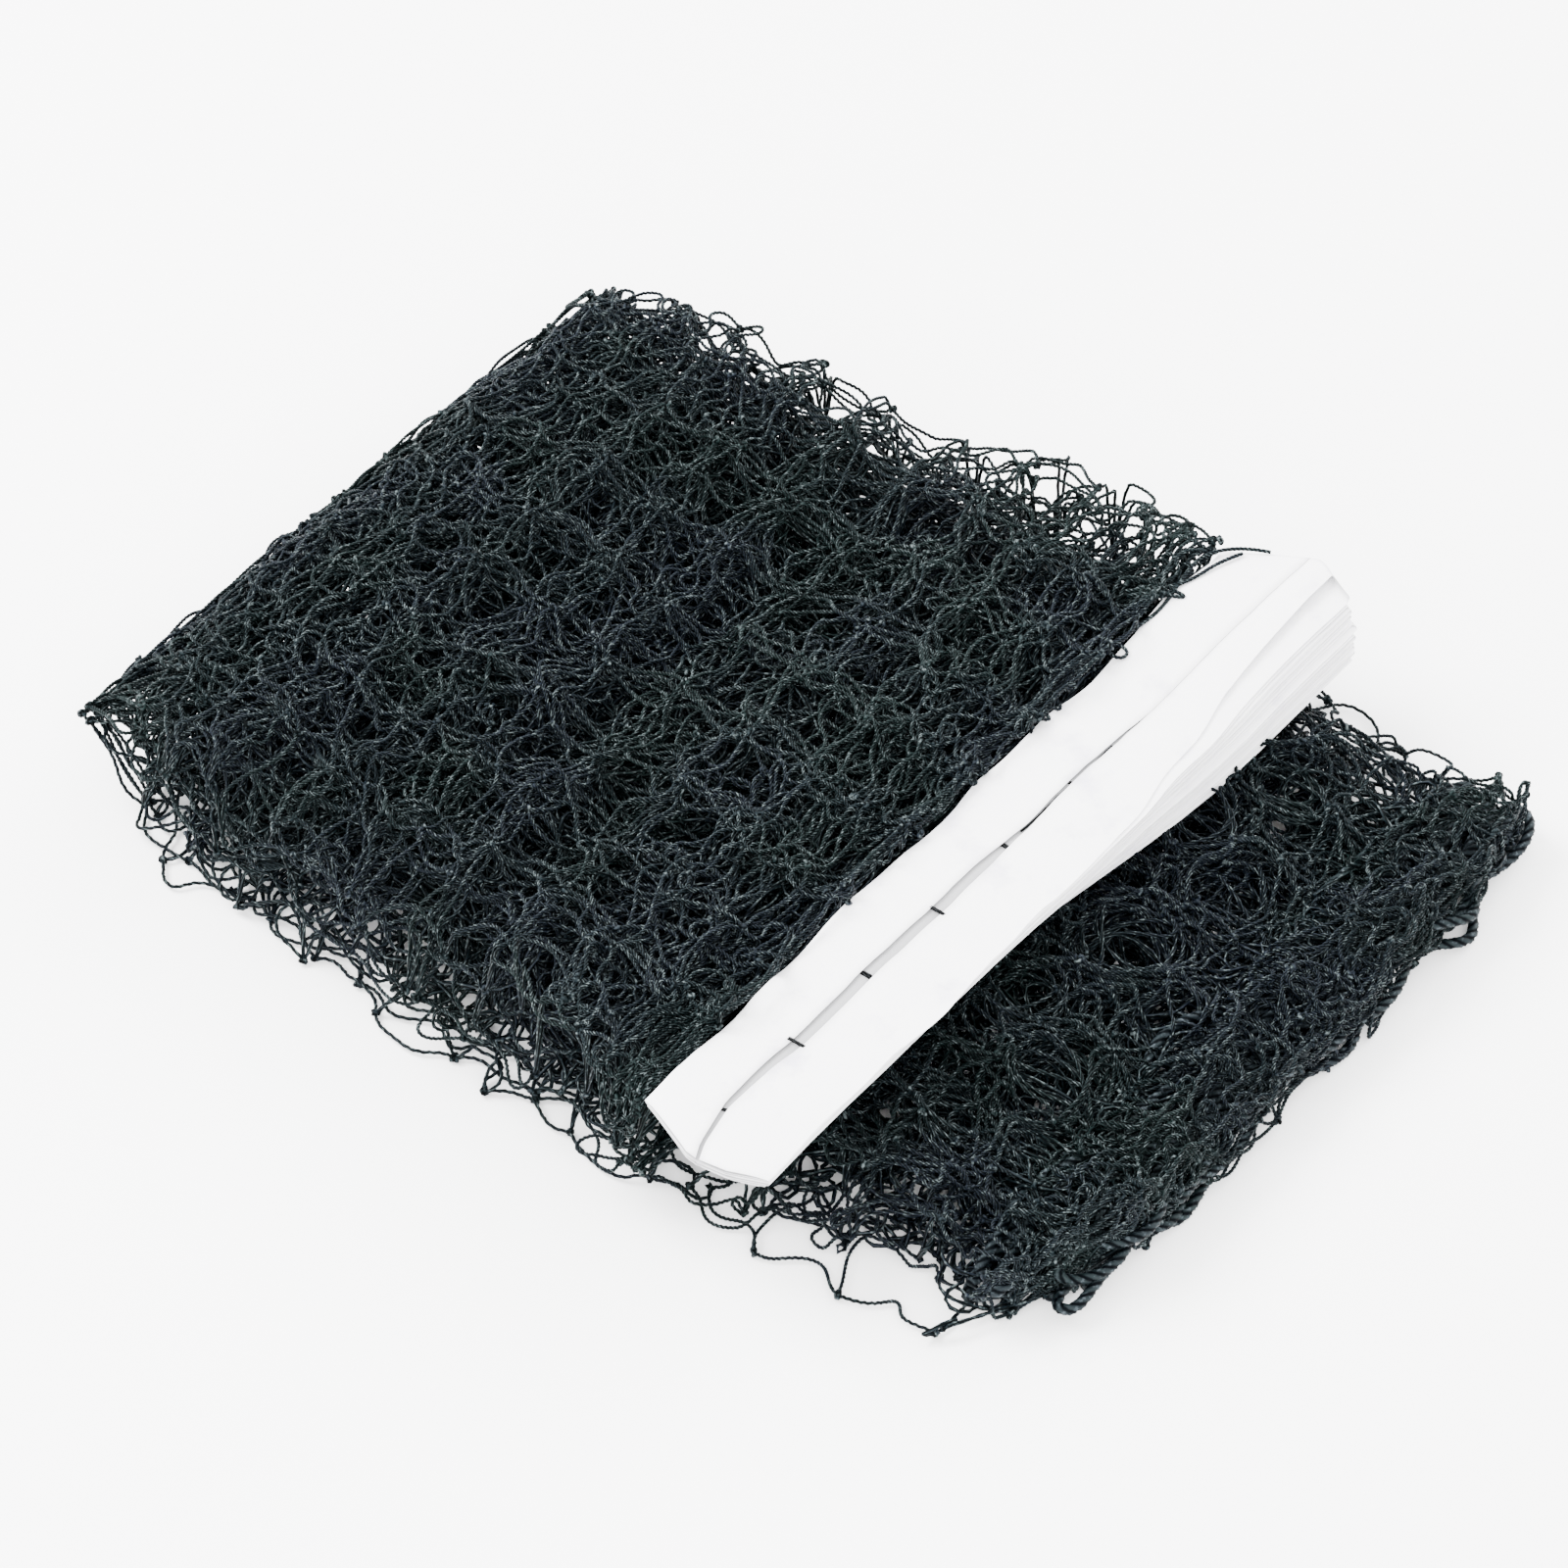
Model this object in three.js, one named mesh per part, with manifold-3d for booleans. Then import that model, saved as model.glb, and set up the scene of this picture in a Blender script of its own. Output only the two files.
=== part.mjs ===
// A tennis net folded for storage: zigzagged along its length into flat layers, then
// doubled over once across its height, so that the headband comes to lie on the lower half.
//
// Units are millimetres. +X runs along the headband, +Y from the headband to the fold
// edge, +Z up. The origin is on the floor under the middle of the bundle.

import * as THREE from 'three';
import { mergeVertices } from 'three/addons/utils/BufferGeometryUtils.js';
import Module from 'manifold-3d';

const wasm = await Module();
wasm.setup();

// The net as it was made
const MESH_SIZE = 45; // knot to knot, along and across
const LAYER_MESHES = 9; // meshes along one layer of the zigzag
const LAYERS = 32;
const LAYER_LENGTH = MESH_SIZE * LAYER_MESHES;

// The folded bundle
const HINGE_HEIGHT = 38.5; // where the lower and the upper half meet
const HINGE_Y = 242; // the line that the net is doubled over on
const HALF_GAP = 0.3; // air between the two halves
const UPPER_THICKNESS = 38.2; // no more than the hinge height, so that the net opens flat
const NETTING_END_Y = -211; // the netting stops here, just short of the bottom rope
const BELLY_X = 216; // half the width at its widest
const FOLD_LEFT_X = 168; // half widths at the narrow ends
const FOLD_RIGHT_X = 182;
const BELLY_PHASE = 0.1; // where the sine that shapes the sides starts and how much
const BELLY_SPAN = 0.86; // of its half wave it covers
const SIDE_SHARPNESS = 6; // the higher, the flatter the top and the steeper its sides
const UPPER_SIDE_SHARE = 0.6; // heights at the sides, as a share of the middle
const LOWER_SIDE_SHARE = 0.97;
const APRON_SIDE_SHARE = 0.7;
const APRON_DROP = 0.35; // the lower half sinks by this share beyond the headband
const FOLD_EDGE_SHARE = 0.55; // thickness of the upper half at the fold edge
const FOLD_EDGE_RISE = 120; // how far from the fold edge it reaches full thickness
const HEAP_STEPS_X = 10;
const HEAP_STEPS_Y = 14;

// The headband: a flat cloth sleeve, open along a slit that the lacing crosses
const BAND_EDGE_Y = -88; // the edge on the netting side
const BAND_WIDTH = 62;
const NARROW_FLAP = 26;
const SLIT_WIDTH = 5;
const BAND_START_X = -213;
const BAND_PITCH = 1; // layer to layer
const BAND_HALF_THICKNESS = 0.4;
const CLOTH = 0.2;
const SEAM_WIDTH = 1; // the closed edges of the sleeve
const BAND_FAN = 4; // how far the bottom layer slides out sideways at the +X end
const FOLD_STEPS = 2; // flats round each fold

// The lacing inside the sleeve, pressed flat by it
const LACING_THICKNESS = 0.3;
const LACING_WIDTH = 1.2;
const TICK_WIDTH = 1.4;
const TICK_CLEARANCE = 0.3;
const FIRST_TICK = 16.4; // from the start of a layer

// The bottom rope
const ROPE_DIAMETER = 5;
const ROPE_SIDES = 8;
const ROPE_COLUMNS = 6;
const ROPE_PITCH_Y = 6.6;
const ROPE_PITCH_Z = 6.2;
const ROPE_FIRST_Y = -247;
const ROPE_FIRST_Z = 3.3;
const ROPE_HALF_RUN = 168;
const ROPE_LOOP = 24; // how far the turns reach past the straight runs
const ROPE_RUN_STEPS = 2;
const ROPE_TURN_STEPS = 6;

// The roll of strands along the fold edge
const ROLL_RADIUS = 7.5;
const ROLL_CLEARANCE = 0.5;
const ROLL_SIDES = 24;
const ROLL_START_X = -166;
const ROLL_END_X = 180;

function makeMaterial(color, roughness) {
  return new THREE.MeshStandardMaterial({ color, roughness, metalness: 0 });
}

const nettingMaterial = makeMaterial(0x1b2b2c, 0.85);
const clothMaterial = makeMaterial(0xf2f1f5, 0.5);
const lacingMaterial = makeMaterial(0x121314, 0.8);
const ropeMaterial = makeMaterial(0x1f2e38, 0.85);

function closedGeometry(geometry) {
  const bare = geometry.clone();
  bare.deleteAttribute('normal');
  bare.deleteAttribute('uv');
  return mergeVertices(bare, 1e-4);
}

function toSolid(geometry) {
  const merged = closedGeometry(geometry);
  return new wasm.Manifold(new wasm.Mesh({
    numProp: 3,
    vertProperties: new Float32Array(merged.attributes.position.array),
    triVerts: new Uint32Array(merged.index.array),
  }));
}

function toGeometry(solid) {
  const mesh = solid.getMesh();
  const geometry = new THREE.BufferGeometry();
  geometry.setAttribute('position', new THREE.BufferAttribute(mesh.vertProperties, 3));
  geometry.setIndex(new THREE.BufferAttribute(mesh.triVerts, 1));
  return geometry;
}

function joinAll(geometries) {
  const solids = geometries.map(toSolid);
  return toGeometry(solids.reduce((whole, next) => whole.add(next)));
}

function makeNode(name, geometry, material) {
  const finished = geometry.clone();
  finished.computeVertexNormals();
  const mesh = new THREE.Mesh(finished, material);
  mesh.name = name;
  return mesh;
}

// Moves every vertex by a function that gets and changes a Vector3.
function reshape(geometry, change) {
  const position = geometry.attributes.position;
  const point = new THREE.Vector3();
  for (let i = 0; i < position.count; i += 1) {
    point.fromBufferAttribute(position, i);
    change(point);
    position.setXYZ(i, point.x, point.y, point.z);
  }
  return geometry;
}

// ---------------------------------------------------------------- netting

// The outline of the bundle at y: it is narrowest at the fold edge and bellies out in the
// middle, where the loose ends of the zigzag layers spread.
function sideX(y, side) {
  const along = (y - NETTING_END_Y) / (HINGE_Y - NETTING_END_Y);
  const belly = Math.sin(Math.PI * (BELLY_PHASE + BELLY_SPAN * along));
  const narrow = side < 0 ? FOLD_LEFT_X : FOLD_RIGHT_X;
  return side * (narrow + (BELLY_X - narrow) * belly);
}

// A heap of folded netting on a flat underside. Its top falls off towards its edges.
function heapGeometry(startY, endY, bottom, topAt) {
  const box = new THREE.BoxGeometry(2, 1, 1, HEAP_STEPS_X, HEAP_STEPS_Y, 1);
  return reshape(closedGeometry(box), (point) => {
    const y = startY + (endY - startY) * (point.y + 0.5);
    const across = point.x;
    const left = sideX(y, -1);
    const right = sideX(y, 1);
    const isTop = point.z > 0;
    point.x = left + (right - left) * (across + 1) / 2;
    point.y = y;
    point.z = isTop ? topAt(across, y) : bottom;
  });
}

// 1 over most of the width, falling to the given share at the sides.
function crown(across, share) {
  return 1 - (1 - share) * Math.abs(across) ** SIDE_SHARPNESS;
}

// 0 at the fold edge, rising smoothly to 1 at the heap's full thickness.
function riseFromFold(y) {
  const ratio = Math.min(1, Math.max(0, (HINGE_Y - y) / FOLD_EDGE_RISE));
  return Math.sin(ratio * Math.PI / 2);
}

function lowerHalfTop(across, y) {
  const ceiling = HINGE_HEIGHT - HALF_GAP;
  const bandBack = BAND_EDGE_Y - BAND_WIDTH - BAND_FAN;
  const pastBand = Math.max(0, (bandBack - y) / (bandBack - NETTING_END_Y));
  const sideShare = y < bandBack ? APRON_SIDE_SHARE : LOWER_SIDE_SHARE;
  return ceiling * (1 - APRON_DROP * pastBand) * crown(across, sideShare);
}

function upperHalfTop(across, y) {
  const rise = FOLD_EDGE_SHARE + (1 - FOLD_EDGE_SHARE) * riseFromFold(y);
  return HINGE_HEIGHT + UPPER_THICKNESS * rise * crown(across, UPPER_SIDE_SHARE);
}

function rollGeometry(radius, startX, endX) {
  const roll = new THREE.CylinderGeometry(radius, radius, endX - startX, ROLL_SIDES);
  roll.rotateZ(Math.PI / 2);
  roll.translate((startX + endX) / 2, HINGE_Y, HINGE_HEIGHT);
  return roll;
}

// A half of the netting, hollowed along its edge so that it clears the roll as it turns.
function halfGeometry(startY, bottom, topAt) {
  const endY = HINGE_Y - HALF_GAP / 2;
  const heap = toSolid(heapGeometry(startY, endY, bottom, topAt));
  const channel = rollGeometry(ROLL_RADIUS + ROLL_CLEARANCE, -BELLY_X, BELLY_X);
  return toGeometry(heap.subtract(toSolid(channel)));
}

// ---------------------------------------------------------------- headband

// One edge line of the zigzag, at a distance from its middle line. Even layers run
// towards +X and odd ones back, and the offset is to the left of the way they run.
function zigzagLine(offset) {
  const points = [];
  const base = HINGE_HEIGHT + HALF_GAP + BAND_HALF_THICKNESS;
  for (let layer = 0; layer < LAYERS; layer += 1) {
    const forward = layer % 2 === 0;
    const direction = forward ? 1 : -1;
    const z = base + layer * BAND_PITCH;
    const nearX = forward ? BAND_START_X : BAND_START_X + LAYER_LENGTH;
    const farX = forward ? BAND_START_X + LAYER_LENGTH : BAND_START_X;
    points.push(new THREE.Vector2(nearX, z + offset * direction));
    points.push(new THREE.Vector2(farX, z + offset * direction));
    if (layer < LAYERS - 1) {
      const radius = BAND_PITCH / 2 - offset * direction;
      for (let step = 1; step < FOLD_STEPS; step += 1) {
        const angle = Math.PI * step / FOLD_STEPS - Math.PI / 2;
        const out = radius * Math.cos(angle) * direction;
        points.push(new THREE.Vector2(farX + out, z + BAND_PITCH / 2 + radius * Math.sin(angle)));
      }
    }
  }
  return points;
}

// A strip that follows the whole zigzag, between two offsets and two distances across it.
// Distances across are counted from the edge on the netting side.
function zigzagStrip(lowOffset, highOffset, fromAcross, toAcross) {
  const outline = [...zigzagLine(lowOffset), ...zigzagLine(highOffset).reverse()];
  const strip = new THREE.ExtrudeGeometry(new THREE.Shape(outline), {
    depth: toAcross - fromAcross,
    bevelEnabled: false,
  });
  strip.rotateX(Math.PI / 2);
  strip.translate(0, BAND_EDGE_Y - fromAcross, 0);
  return strip;
}

// The lower layers slide out sideways, more and more towards the +X end.
function fanOut(geometry) {
  const stackHeight = LAYERS * BAND_PITCH;
  return reshape(geometry, (point) => {
    const depth = 1 - (point.z - HINGE_HEIGHT) / stackHeight;
    const along = (point.x - BAND_START_X) / LAYER_LENGTH;
    point.y -= BAND_FAN * Math.max(0, depth) * along;
  });
}

function headbandGeometry() {
  const half = BAND_HALF_THICKNESS;
  const back = zigzagStrip(half - CLOTH, half, 0, BAND_WIDTH);
  const narrowFlap = zigzagStrip(-half, CLOTH - half, 0, NARROW_FLAP);
  const wideFlap = zigzagStrip(-half, CLOTH - half, NARROW_FLAP + SLIT_WIDTH, BAND_WIDTH);
  const nettingSeam = zigzagStrip(-half, half, 0, SEAM_WIDTH);
  const outerSeam = zigzagStrip(-half, half, BAND_WIDTH - SEAM_WIDTH, BAND_WIDTH);
  return fanOut(joinAll([back, narrowFlap, wideFlap, nettingSeam, outerSeam]));
}

// A tick of lacing that fills the slit from side to side at one mesh.
function tickGeometry(layer, mesh) {
  const direction = layer % 2 === 0 ? 1 : -1;
  const height = BAND_HALF_THICKNESS;
  const tick = new THREE.BoxGeometry(TICK_WIDTH, SLIT_WIDTH - 2 * TICK_CLEARANCE, height);
  const middleZ = HINGE_HEIGHT + HALF_GAP + BAND_HALF_THICKNESS + layer * BAND_PITCH;
  tick.translate(
    BAND_START_X + FIRST_TICK + MESH_SIZE * mesh,
    BAND_EDGE_Y - NARROW_FLAP - SLIT_WIDTH / 2,
    middleZ - direction * height / 2,
  );
  return tick;
}

// The ticks stand in the slits of the two outer layers. Between layers they are pressed flat.
function lacingGeometry() {
  const middle = NARROW_FLAP + SLIT_WIDTH / 2;
  const halfWidth = LACING_WIDTH / 2;
  const halfThickness = LACING_THICKNESS / 2;
  const pieces = [zigzagStrip(-halfThickness, halfThickness, middle - halfWidth, middle + halfWidth)];
  for (const layer of [0, LAYERS - 1]) {
    for (let mesh = 0; mesh < LAYER_MESHES; mesh += 1) {
      pieces.push(tickGeometry(layer, mesh));
    }
  }
  return fanOut(joinAll(pieces));
}

// ---------------------------------------------------------------- bottom rope

// A smooth curve whose stations are its own points, close together only in the turns.
class StationCurve extends THREE.CatmullRomCurve3 {
  getUtoTmapping(u) {
    return u;
  }
}

// The middle of each straight run: the zigzag fills rows of ROPE_COLUMNS, bottom row first,
// and every second row is filled from the other side.
function ropeRun(run) {
  const row = Math.floor(run / ROPE_COLUMNS);
  const place = run % ROPE_COLUMNS;
  const column = row % 2 === 0 ? place : ROPE_COLUMNS - 1 - place;
  return {
    y: ROPE_FIRST_Y + column * ROPE_PITCH_Y,
    z: ROPE_FIRST_Z + row * ROPE_PITCH_Z,
  };
}

function ropeStations() {
  const points = [];
  for (let run = 0; run < LAYERS; run += 1) {
    const direction = run % 2 === 0 ? 1 : -1;
    const here = ropeRun(run);
    for (let step = 0; step <= ROPE_RUN_STEPS; step += 1) {
      const x = ROPE_HALF_RUN * direction * (2 * step / ROPE_RUN_STEPS - 1);
      points.push(new THREE.Vector3(x, here.y, here.z));
    }
    if (run < LAYERS - 1) {
      const next = ropeRun(run + 1);
      for (let step = 1; step < ROPE_TURN_STEPS; step += 1) {
        const turn = Math.PI * step / ROPE_TURN_STEPS;
        const blend = (1 - Math.cos(turn)) / 2;
        points.push(new THREE.Vector3(
          direction * (ROPE_HALF_RUN + ROPE_LOOP * Math.sin(turn)),
          THREE.MathUtils.lerp(here.y, next.y, blend),
          THREE.MathUtils.lerp(here.z, next.z, blend),
        ));
      }
    }
  }
  return points;
}

function ropeGeometry() {
  const section = new THREE.Shape();
  section.absarc(0, 0, ROPE_DIAMETER / 2, 0, 2 * Math.PI);
  const stations = ropeStations();
  return new THREE.ExtrudeGeometry(section, {
    steps: stations.length - 1,
    curveSegments: ROPE_SIDES / 2,
    bevelEnabled: false,
    extrudePath: new StationCurve(stations),
  });
}

// ---------------------------------------------------------------- the assembly

const net = new THREE.Group();
const lowerHalf = new THREE.Group();
const upperHalf = new THREE.Group();
net.add(lowerHalf, upperHalf);

lowerHalf.add(
  makeNode('netting_lower_half', halfGeometry(NETTING_END_Y, 0, lowerHalfTop), nettingMaterial),
  makeNode('netting_fold_edge', rollGeometry(ROLL_RADIUS, ROLL_START_X, ROLL_END_X), nettingMaterial),
  makeNode('bottom_rope', ropeGeometry(), ropeMaterial),
);

upperHalf.add(
  makeNode(
    'netting_upper_half',
    halfGeometry(BAND_EDGE_Y + HALF_GAP, HINGE_HEIGHT + HALF_GAP, upperHalfTop),
    nettingMaterial,
  ),
  makeNode('headband', headbandGeometry(), clothMaterial),
  makeNode('headband_lacing', lacingGeometry(), lacingMaterial),
);

export default net;
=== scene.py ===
"""A folded tennis net: knotted netting, a white cloth headband in zigzag layers, and a bottom rope.

The net is generated as what it is. Every knot of the real panel gets a place in the folded
bundle, every leg of twine between two knots buckles into an arc of about its real length, and
the layers are then laid on each other from the bottom up, so that strands rest on the strands
below them. All lengths are in metres.
"""

import math

import bpy
import numpy as np
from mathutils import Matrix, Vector
from mathutils.bvhtree import BVHTree


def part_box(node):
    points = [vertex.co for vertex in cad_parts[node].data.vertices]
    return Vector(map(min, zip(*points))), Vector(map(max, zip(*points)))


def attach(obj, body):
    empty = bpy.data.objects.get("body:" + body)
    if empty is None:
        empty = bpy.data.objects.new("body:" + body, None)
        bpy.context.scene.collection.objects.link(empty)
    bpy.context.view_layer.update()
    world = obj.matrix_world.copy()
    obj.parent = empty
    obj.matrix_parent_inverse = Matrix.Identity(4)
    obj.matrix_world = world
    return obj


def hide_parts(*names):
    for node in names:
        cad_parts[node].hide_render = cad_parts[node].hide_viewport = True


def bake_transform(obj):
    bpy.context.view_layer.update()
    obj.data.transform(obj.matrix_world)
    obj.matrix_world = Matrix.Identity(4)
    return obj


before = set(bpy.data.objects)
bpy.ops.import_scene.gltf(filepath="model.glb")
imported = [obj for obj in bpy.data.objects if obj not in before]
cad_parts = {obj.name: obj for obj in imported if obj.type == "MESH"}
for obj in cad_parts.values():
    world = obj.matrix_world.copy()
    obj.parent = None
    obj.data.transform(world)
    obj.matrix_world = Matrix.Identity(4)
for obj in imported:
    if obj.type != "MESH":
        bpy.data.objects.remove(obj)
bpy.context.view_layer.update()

MM = 0.001
RNG = np.random.default_rng(7)

# ------------------------------------------------------------------ the net's own sizes

LEG = 44 * MM                 # twine between two knots of a 45 mm mesh
LAYER_MESHES = 9
LAYERS = 32
COLUMNS = LAYERS * LAYER_MESHES + 1
FOLD_ROW = 10                 # rows 0 to 9 are in the upper half, this one lies on the fold
LAST_ROW = 24                 # the knots on the bottom rope
UPPER_ROWS = slice(0, FOLD_ROW)
UPPER_Y_ROWS = slice(0, FOLD_ROW - 1)
LOWER_ROWS = slice(FOLD_ROW + 1, LAST_ROW)
LOWER_Y_ROWS = slice(FOLD_ROW + 1, LAST_ROW - 1)
TWINE_RADIUS = 0.95 * MM
REST_HEIGHT = 2.3 * MM        # the knots hold the twine this high off the floor
SAMPLES = 45                  # points along one leg, 1 mm apart

# ------------------------------------------------------------------ how it is crumpled

CRUMPLE_DRIFT = 16 * MM       # how far neighbouring knots of a layer stray together
DRIFT_WAVELENGTH = 0.12
CRUMPLE_SCATTER = 10 * MM     # and each on its own
LAYER_STEP = 0.05             # how far apart, as places in the drift, two layers count
STRETCHED_ROWS = 10           # rows of the lower half pulled straight, before the rest bunch up
STRETCHED_PITCH = 41 * MM
MOST_SWAY = 13                # millimetres that the middle rows of a layer may lie off their place
EDGE_INSET = 35 * MM          # how far inside the outline the zigzag turns
INSET_SCATTER = 17 * MM
INSET_WANDER = 8 * MM
INSET_RANGE = (2 * MM, 74 * MM)
BAND_END_INSET = 34 * MM      # by how much the netting draws in at the headband's right end
CLUMP_WAVES = 7
HEAP_CLUMPS = 30 * MM         # from clump to clump in the heap beside the headband
HEAP_CLUMPING = 0.22          # how strongly they are drawn together
APRON_CLUMPS = 42 * MM        # the same for the netting on the rope's side of the headband
APRON_CLUMPING = 0.75
CLUMP_DRIFT = 7 * MM          # how far the clumps stray from layer to layer
MOST_BEYOND = 7 * MM          # how far loops reach out of the outline
LOOSE_TOP = 7 * MM            # how far single strands stand out of a heap's top
FOLD_ZONE = 62 * MM           # from here to the fold both halves thin out towards it
FOLD_EASE = 25 * MM
FOLD_GAP = 3.4 * MM
FOLD_CLEARANCE = 3.2 * MM     # of the rows beside the fold above and below its middle

# ------------------------------------------------------------------ the rope's own sizes

# The rope lies in a bundle of runs, column by column and row by row, as in the frame.
ROPE_RADIUS = 2.5 * MM
ROPE_COLUMNS = 6
ROPE_PITCH_Y = 6.6 * MM
ROPE_PITCH_Z = 6.2 * MM
ROPE_HALF_RUN = 168 * MM
ROPE_LOOP = 24 * MM
ROPE_POINT_STEP = 6 * MM      # along the straight runs
ROPE_SETTLING = 0.68          # the slack bundle is this much lower than the frame's
FRONT_LAYERS = 11             # layers whose last meshes hang down in front of the rope

# ------------------------------------------------------------------ places from the frame

UPPER_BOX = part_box("netting_upper_half")
BAND_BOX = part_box("headband")
ROPE_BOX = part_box("bottom_rope")
ROLL_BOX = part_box("netting_fold_edge")
HINGE_Y = (ROLL_BOX[0][1] + ROLL_BOX[1][1]) / 2
HINGE_Z = (ROLL_BOX[0][2] + ROLL_BOX[1][2]) / 2
ROPE_FIRST_Y = ROPE_BOX[0][1] + ROPE_RADIUS
ROPE_FIRST_Z = ROPE_BOX[0][2] + ROPE_RADIUS
BAND_EDGE_Y = BAND_BOX[1][1]
BAND_TOP = BAND_BOX[1][2]
INTERFACE_Z = UPPER_BOX[0][2]         # the upper half rests on the lower one here
HIGHEST = UPPER_BOX[1][2] + 4 * MM


# ------------------------------------------------------------------ camera, light and floor

def make_camera():
    azimuth = math.radians(-52)
    elevation = math.radians(45.5)
    distance = 2.355
    aim = Vector((-21, -8, 42)) * MM
    back = Vector((
        math.sin(azimuth) * math.cos(elevation),
        -math.cos(azimuth) * math.cos(elevation),
        math.sin(elevation),
    ))
    data = bpy.data.cameras.new("camera")
    data.lens = 130.5
    data.sensor_width = 36
    camera = bpy.data.objects.new("camera", data)
    camera.location = aim + back * distance
    camera.rotation_mode = "QUATERNION"
    camera.rotation_quaternion = (-back).to_track_quat("-Z", "Y")
    bpy.context.scene.collection.objects.link(camera)
    bpy.context.scene.camera = camera


def make_floor():
    size = 6.0
    height = -0.2 * MM
    corners = [(-size, -size), (size, -size), (size, size), (-size, size)]
    mesh = bpy.data.meshes.new("floor")
    mesh.from_pydata([(x, y, height) for x, y in corners], [], [(0, 1, 2, 3)])
    floor = bpy.data.objects.new("floor", mesh)
    bpy.context.scene.collection.objects.link(floor)
    material = bpy.data.materials.new("floor")
    material.use_nodes = True
    shader = material.node_tree.nodes["Principled BSDF"]
    shader.inputs["Base Color"].default_value = (0.93, 0.93, 0.935, 1)
    shader.inputs["Roughness"].default_value = 0.8
    mesh.materials.append(material)


def make_area_light(name, place, size, power):
    data = bpy.data.lights.new(name, "AREA")
    data.shape = "SQUARE"
    data.size = size
    data.energy = power
    light = bpy.data.objects.new(name, data)
    light.location = place
    light.rotation_mode = "QUATERNION"
    light.rotation_quaternion = Vector(place).to_track_quat("Z", "Y")
    bpy.context.scene.collection.objects.link(light)


def make_studio():
    make_floor()
    make_area_light("key", (-0.6, 1.6, 2.2), 1.6, 300)
    make_area_light("fill", (-1.8, -1.4, 1.5), 2.0, 120)
    make_area_light("side", (2.2, -0.4, 1.3), 1.6, 90)
    world = bpy.data.worlds.new("studio")
    world.use_nodes = True
    background = world.node_tree.nodes["Background"]
    background.inputs["Color"].default_value = (1, 1, 1, 1)
    background.inputs["Strength"].default_value = 5.2
    bpy.context.scene.world = world


# ------------------------------------------------------------------ numpy helpers

def smooth_step(value):
    value = np.clip(value, 0, 1)
    return value * value * (3 - 2 * value)


def unit(vectors):
    return vectors / np.maximum(np.linalg.norm(vectors, axis=-1, keepdims=True), 1e-12)


def wave_noise(points, wavelength, rng, waves=6):
    """Smooth noise of about unit size at points of any dimension: a sum of random plane waves."""
    total = np.zeros(points.shape[:-1])
    for _ in range(waves):
        direction = unit(rng.normal(size=points.shape[-1]))
        stretch = rng.uniform(0.7, 1.4)
        phase = rng.uniform(0, 2 * math.pi)
        total += np.sin(points @ direction * (2 * math.pi * stretch / wavelength) + phase)
    return total * math.sqrt(2 / waves)


def resample_matrix(old_count, new_count):
    """The matrix that turns old_count even samples into new_count, by cubic interpolation."""
    matrix = np.zeros((new_count, old_count))
    for row in range(new_count):
        place = row * (old_count - 1) / (new_count - 1)
        base = min(int(place), old_count - 2)
        t = place - base
        weights = (
            (-t + 2 * t * t - t ** 3) / 2,
            (2 - 5 * t * t + 3 * t ** 3) / 2,
            (t + 4 * t * t - 3 * t ** 3) / 2,
            (t ** 3 - t * t) / 2,
        )
        for offset, weight in zip((-1, 0, 1, 2), weights):
            matrix[row, min(max(base + offset, 0), old_count - 1)] += weight
    return matrix


def blur(grid, radius, passes=2):
    """A box blur of a 2-D grid, by running sums, with the edge values carried outwards."""
    for _ in range(passes):
        for axis in (0, 1):
            padding = [(radius + 1, radius) if a == axis else (0, 0) for a in (0, 1)]
            total = np.cumsum(np.pad(grid, padding, mode="edge"), axis=axis)
            width = 2 * radius + 1
            ahead = np.take(total, range(width, total.shape[axis]), axis=axis)
            behind = np.take(total, range(0, total.shape[axis] - width), axis=axis)
            grid = (ahead - behind) / width
    return grid


# ------------------------------------------------------------------ meshes of twine

def tube_frames(points):
    """Tangents and two side vectors along each line of points (line, sample, 3), without twist."""
    tangent = unit(np.gradient(points, axis=1))
    side = np.empty_like(points)
    start = np.cross(tangent[:, 0], [0.0, 0.0, 1.0])
    start[np.linalg.norm(start, axis=1) < 1e-3] = (1.0, 0.0, 0.0)
    side[:, 0] = unit(start)
    for i in range(1, points.shape[1]):
        carried = side[:, i - 1]
        along = (carried * tangent[:, i]).sum(1, keepdims=True)
        side[:, i] = unit(carried - along * tangent[:, i])
    return tangent, side, np.cross(tangent, side)


def faces_between(rings, nexts):
    """Quads between closed rings of vertex numbers (..., side) and the rings that follow them."""
    beside = np.roll(rings, -1, axis=-1)
    next_beside = np.roll(nexts, -1, axis=-1)
    return np.stack([rings, beside, next_beside, nexts], axis=-1).reshape(-1, 4)


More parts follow.
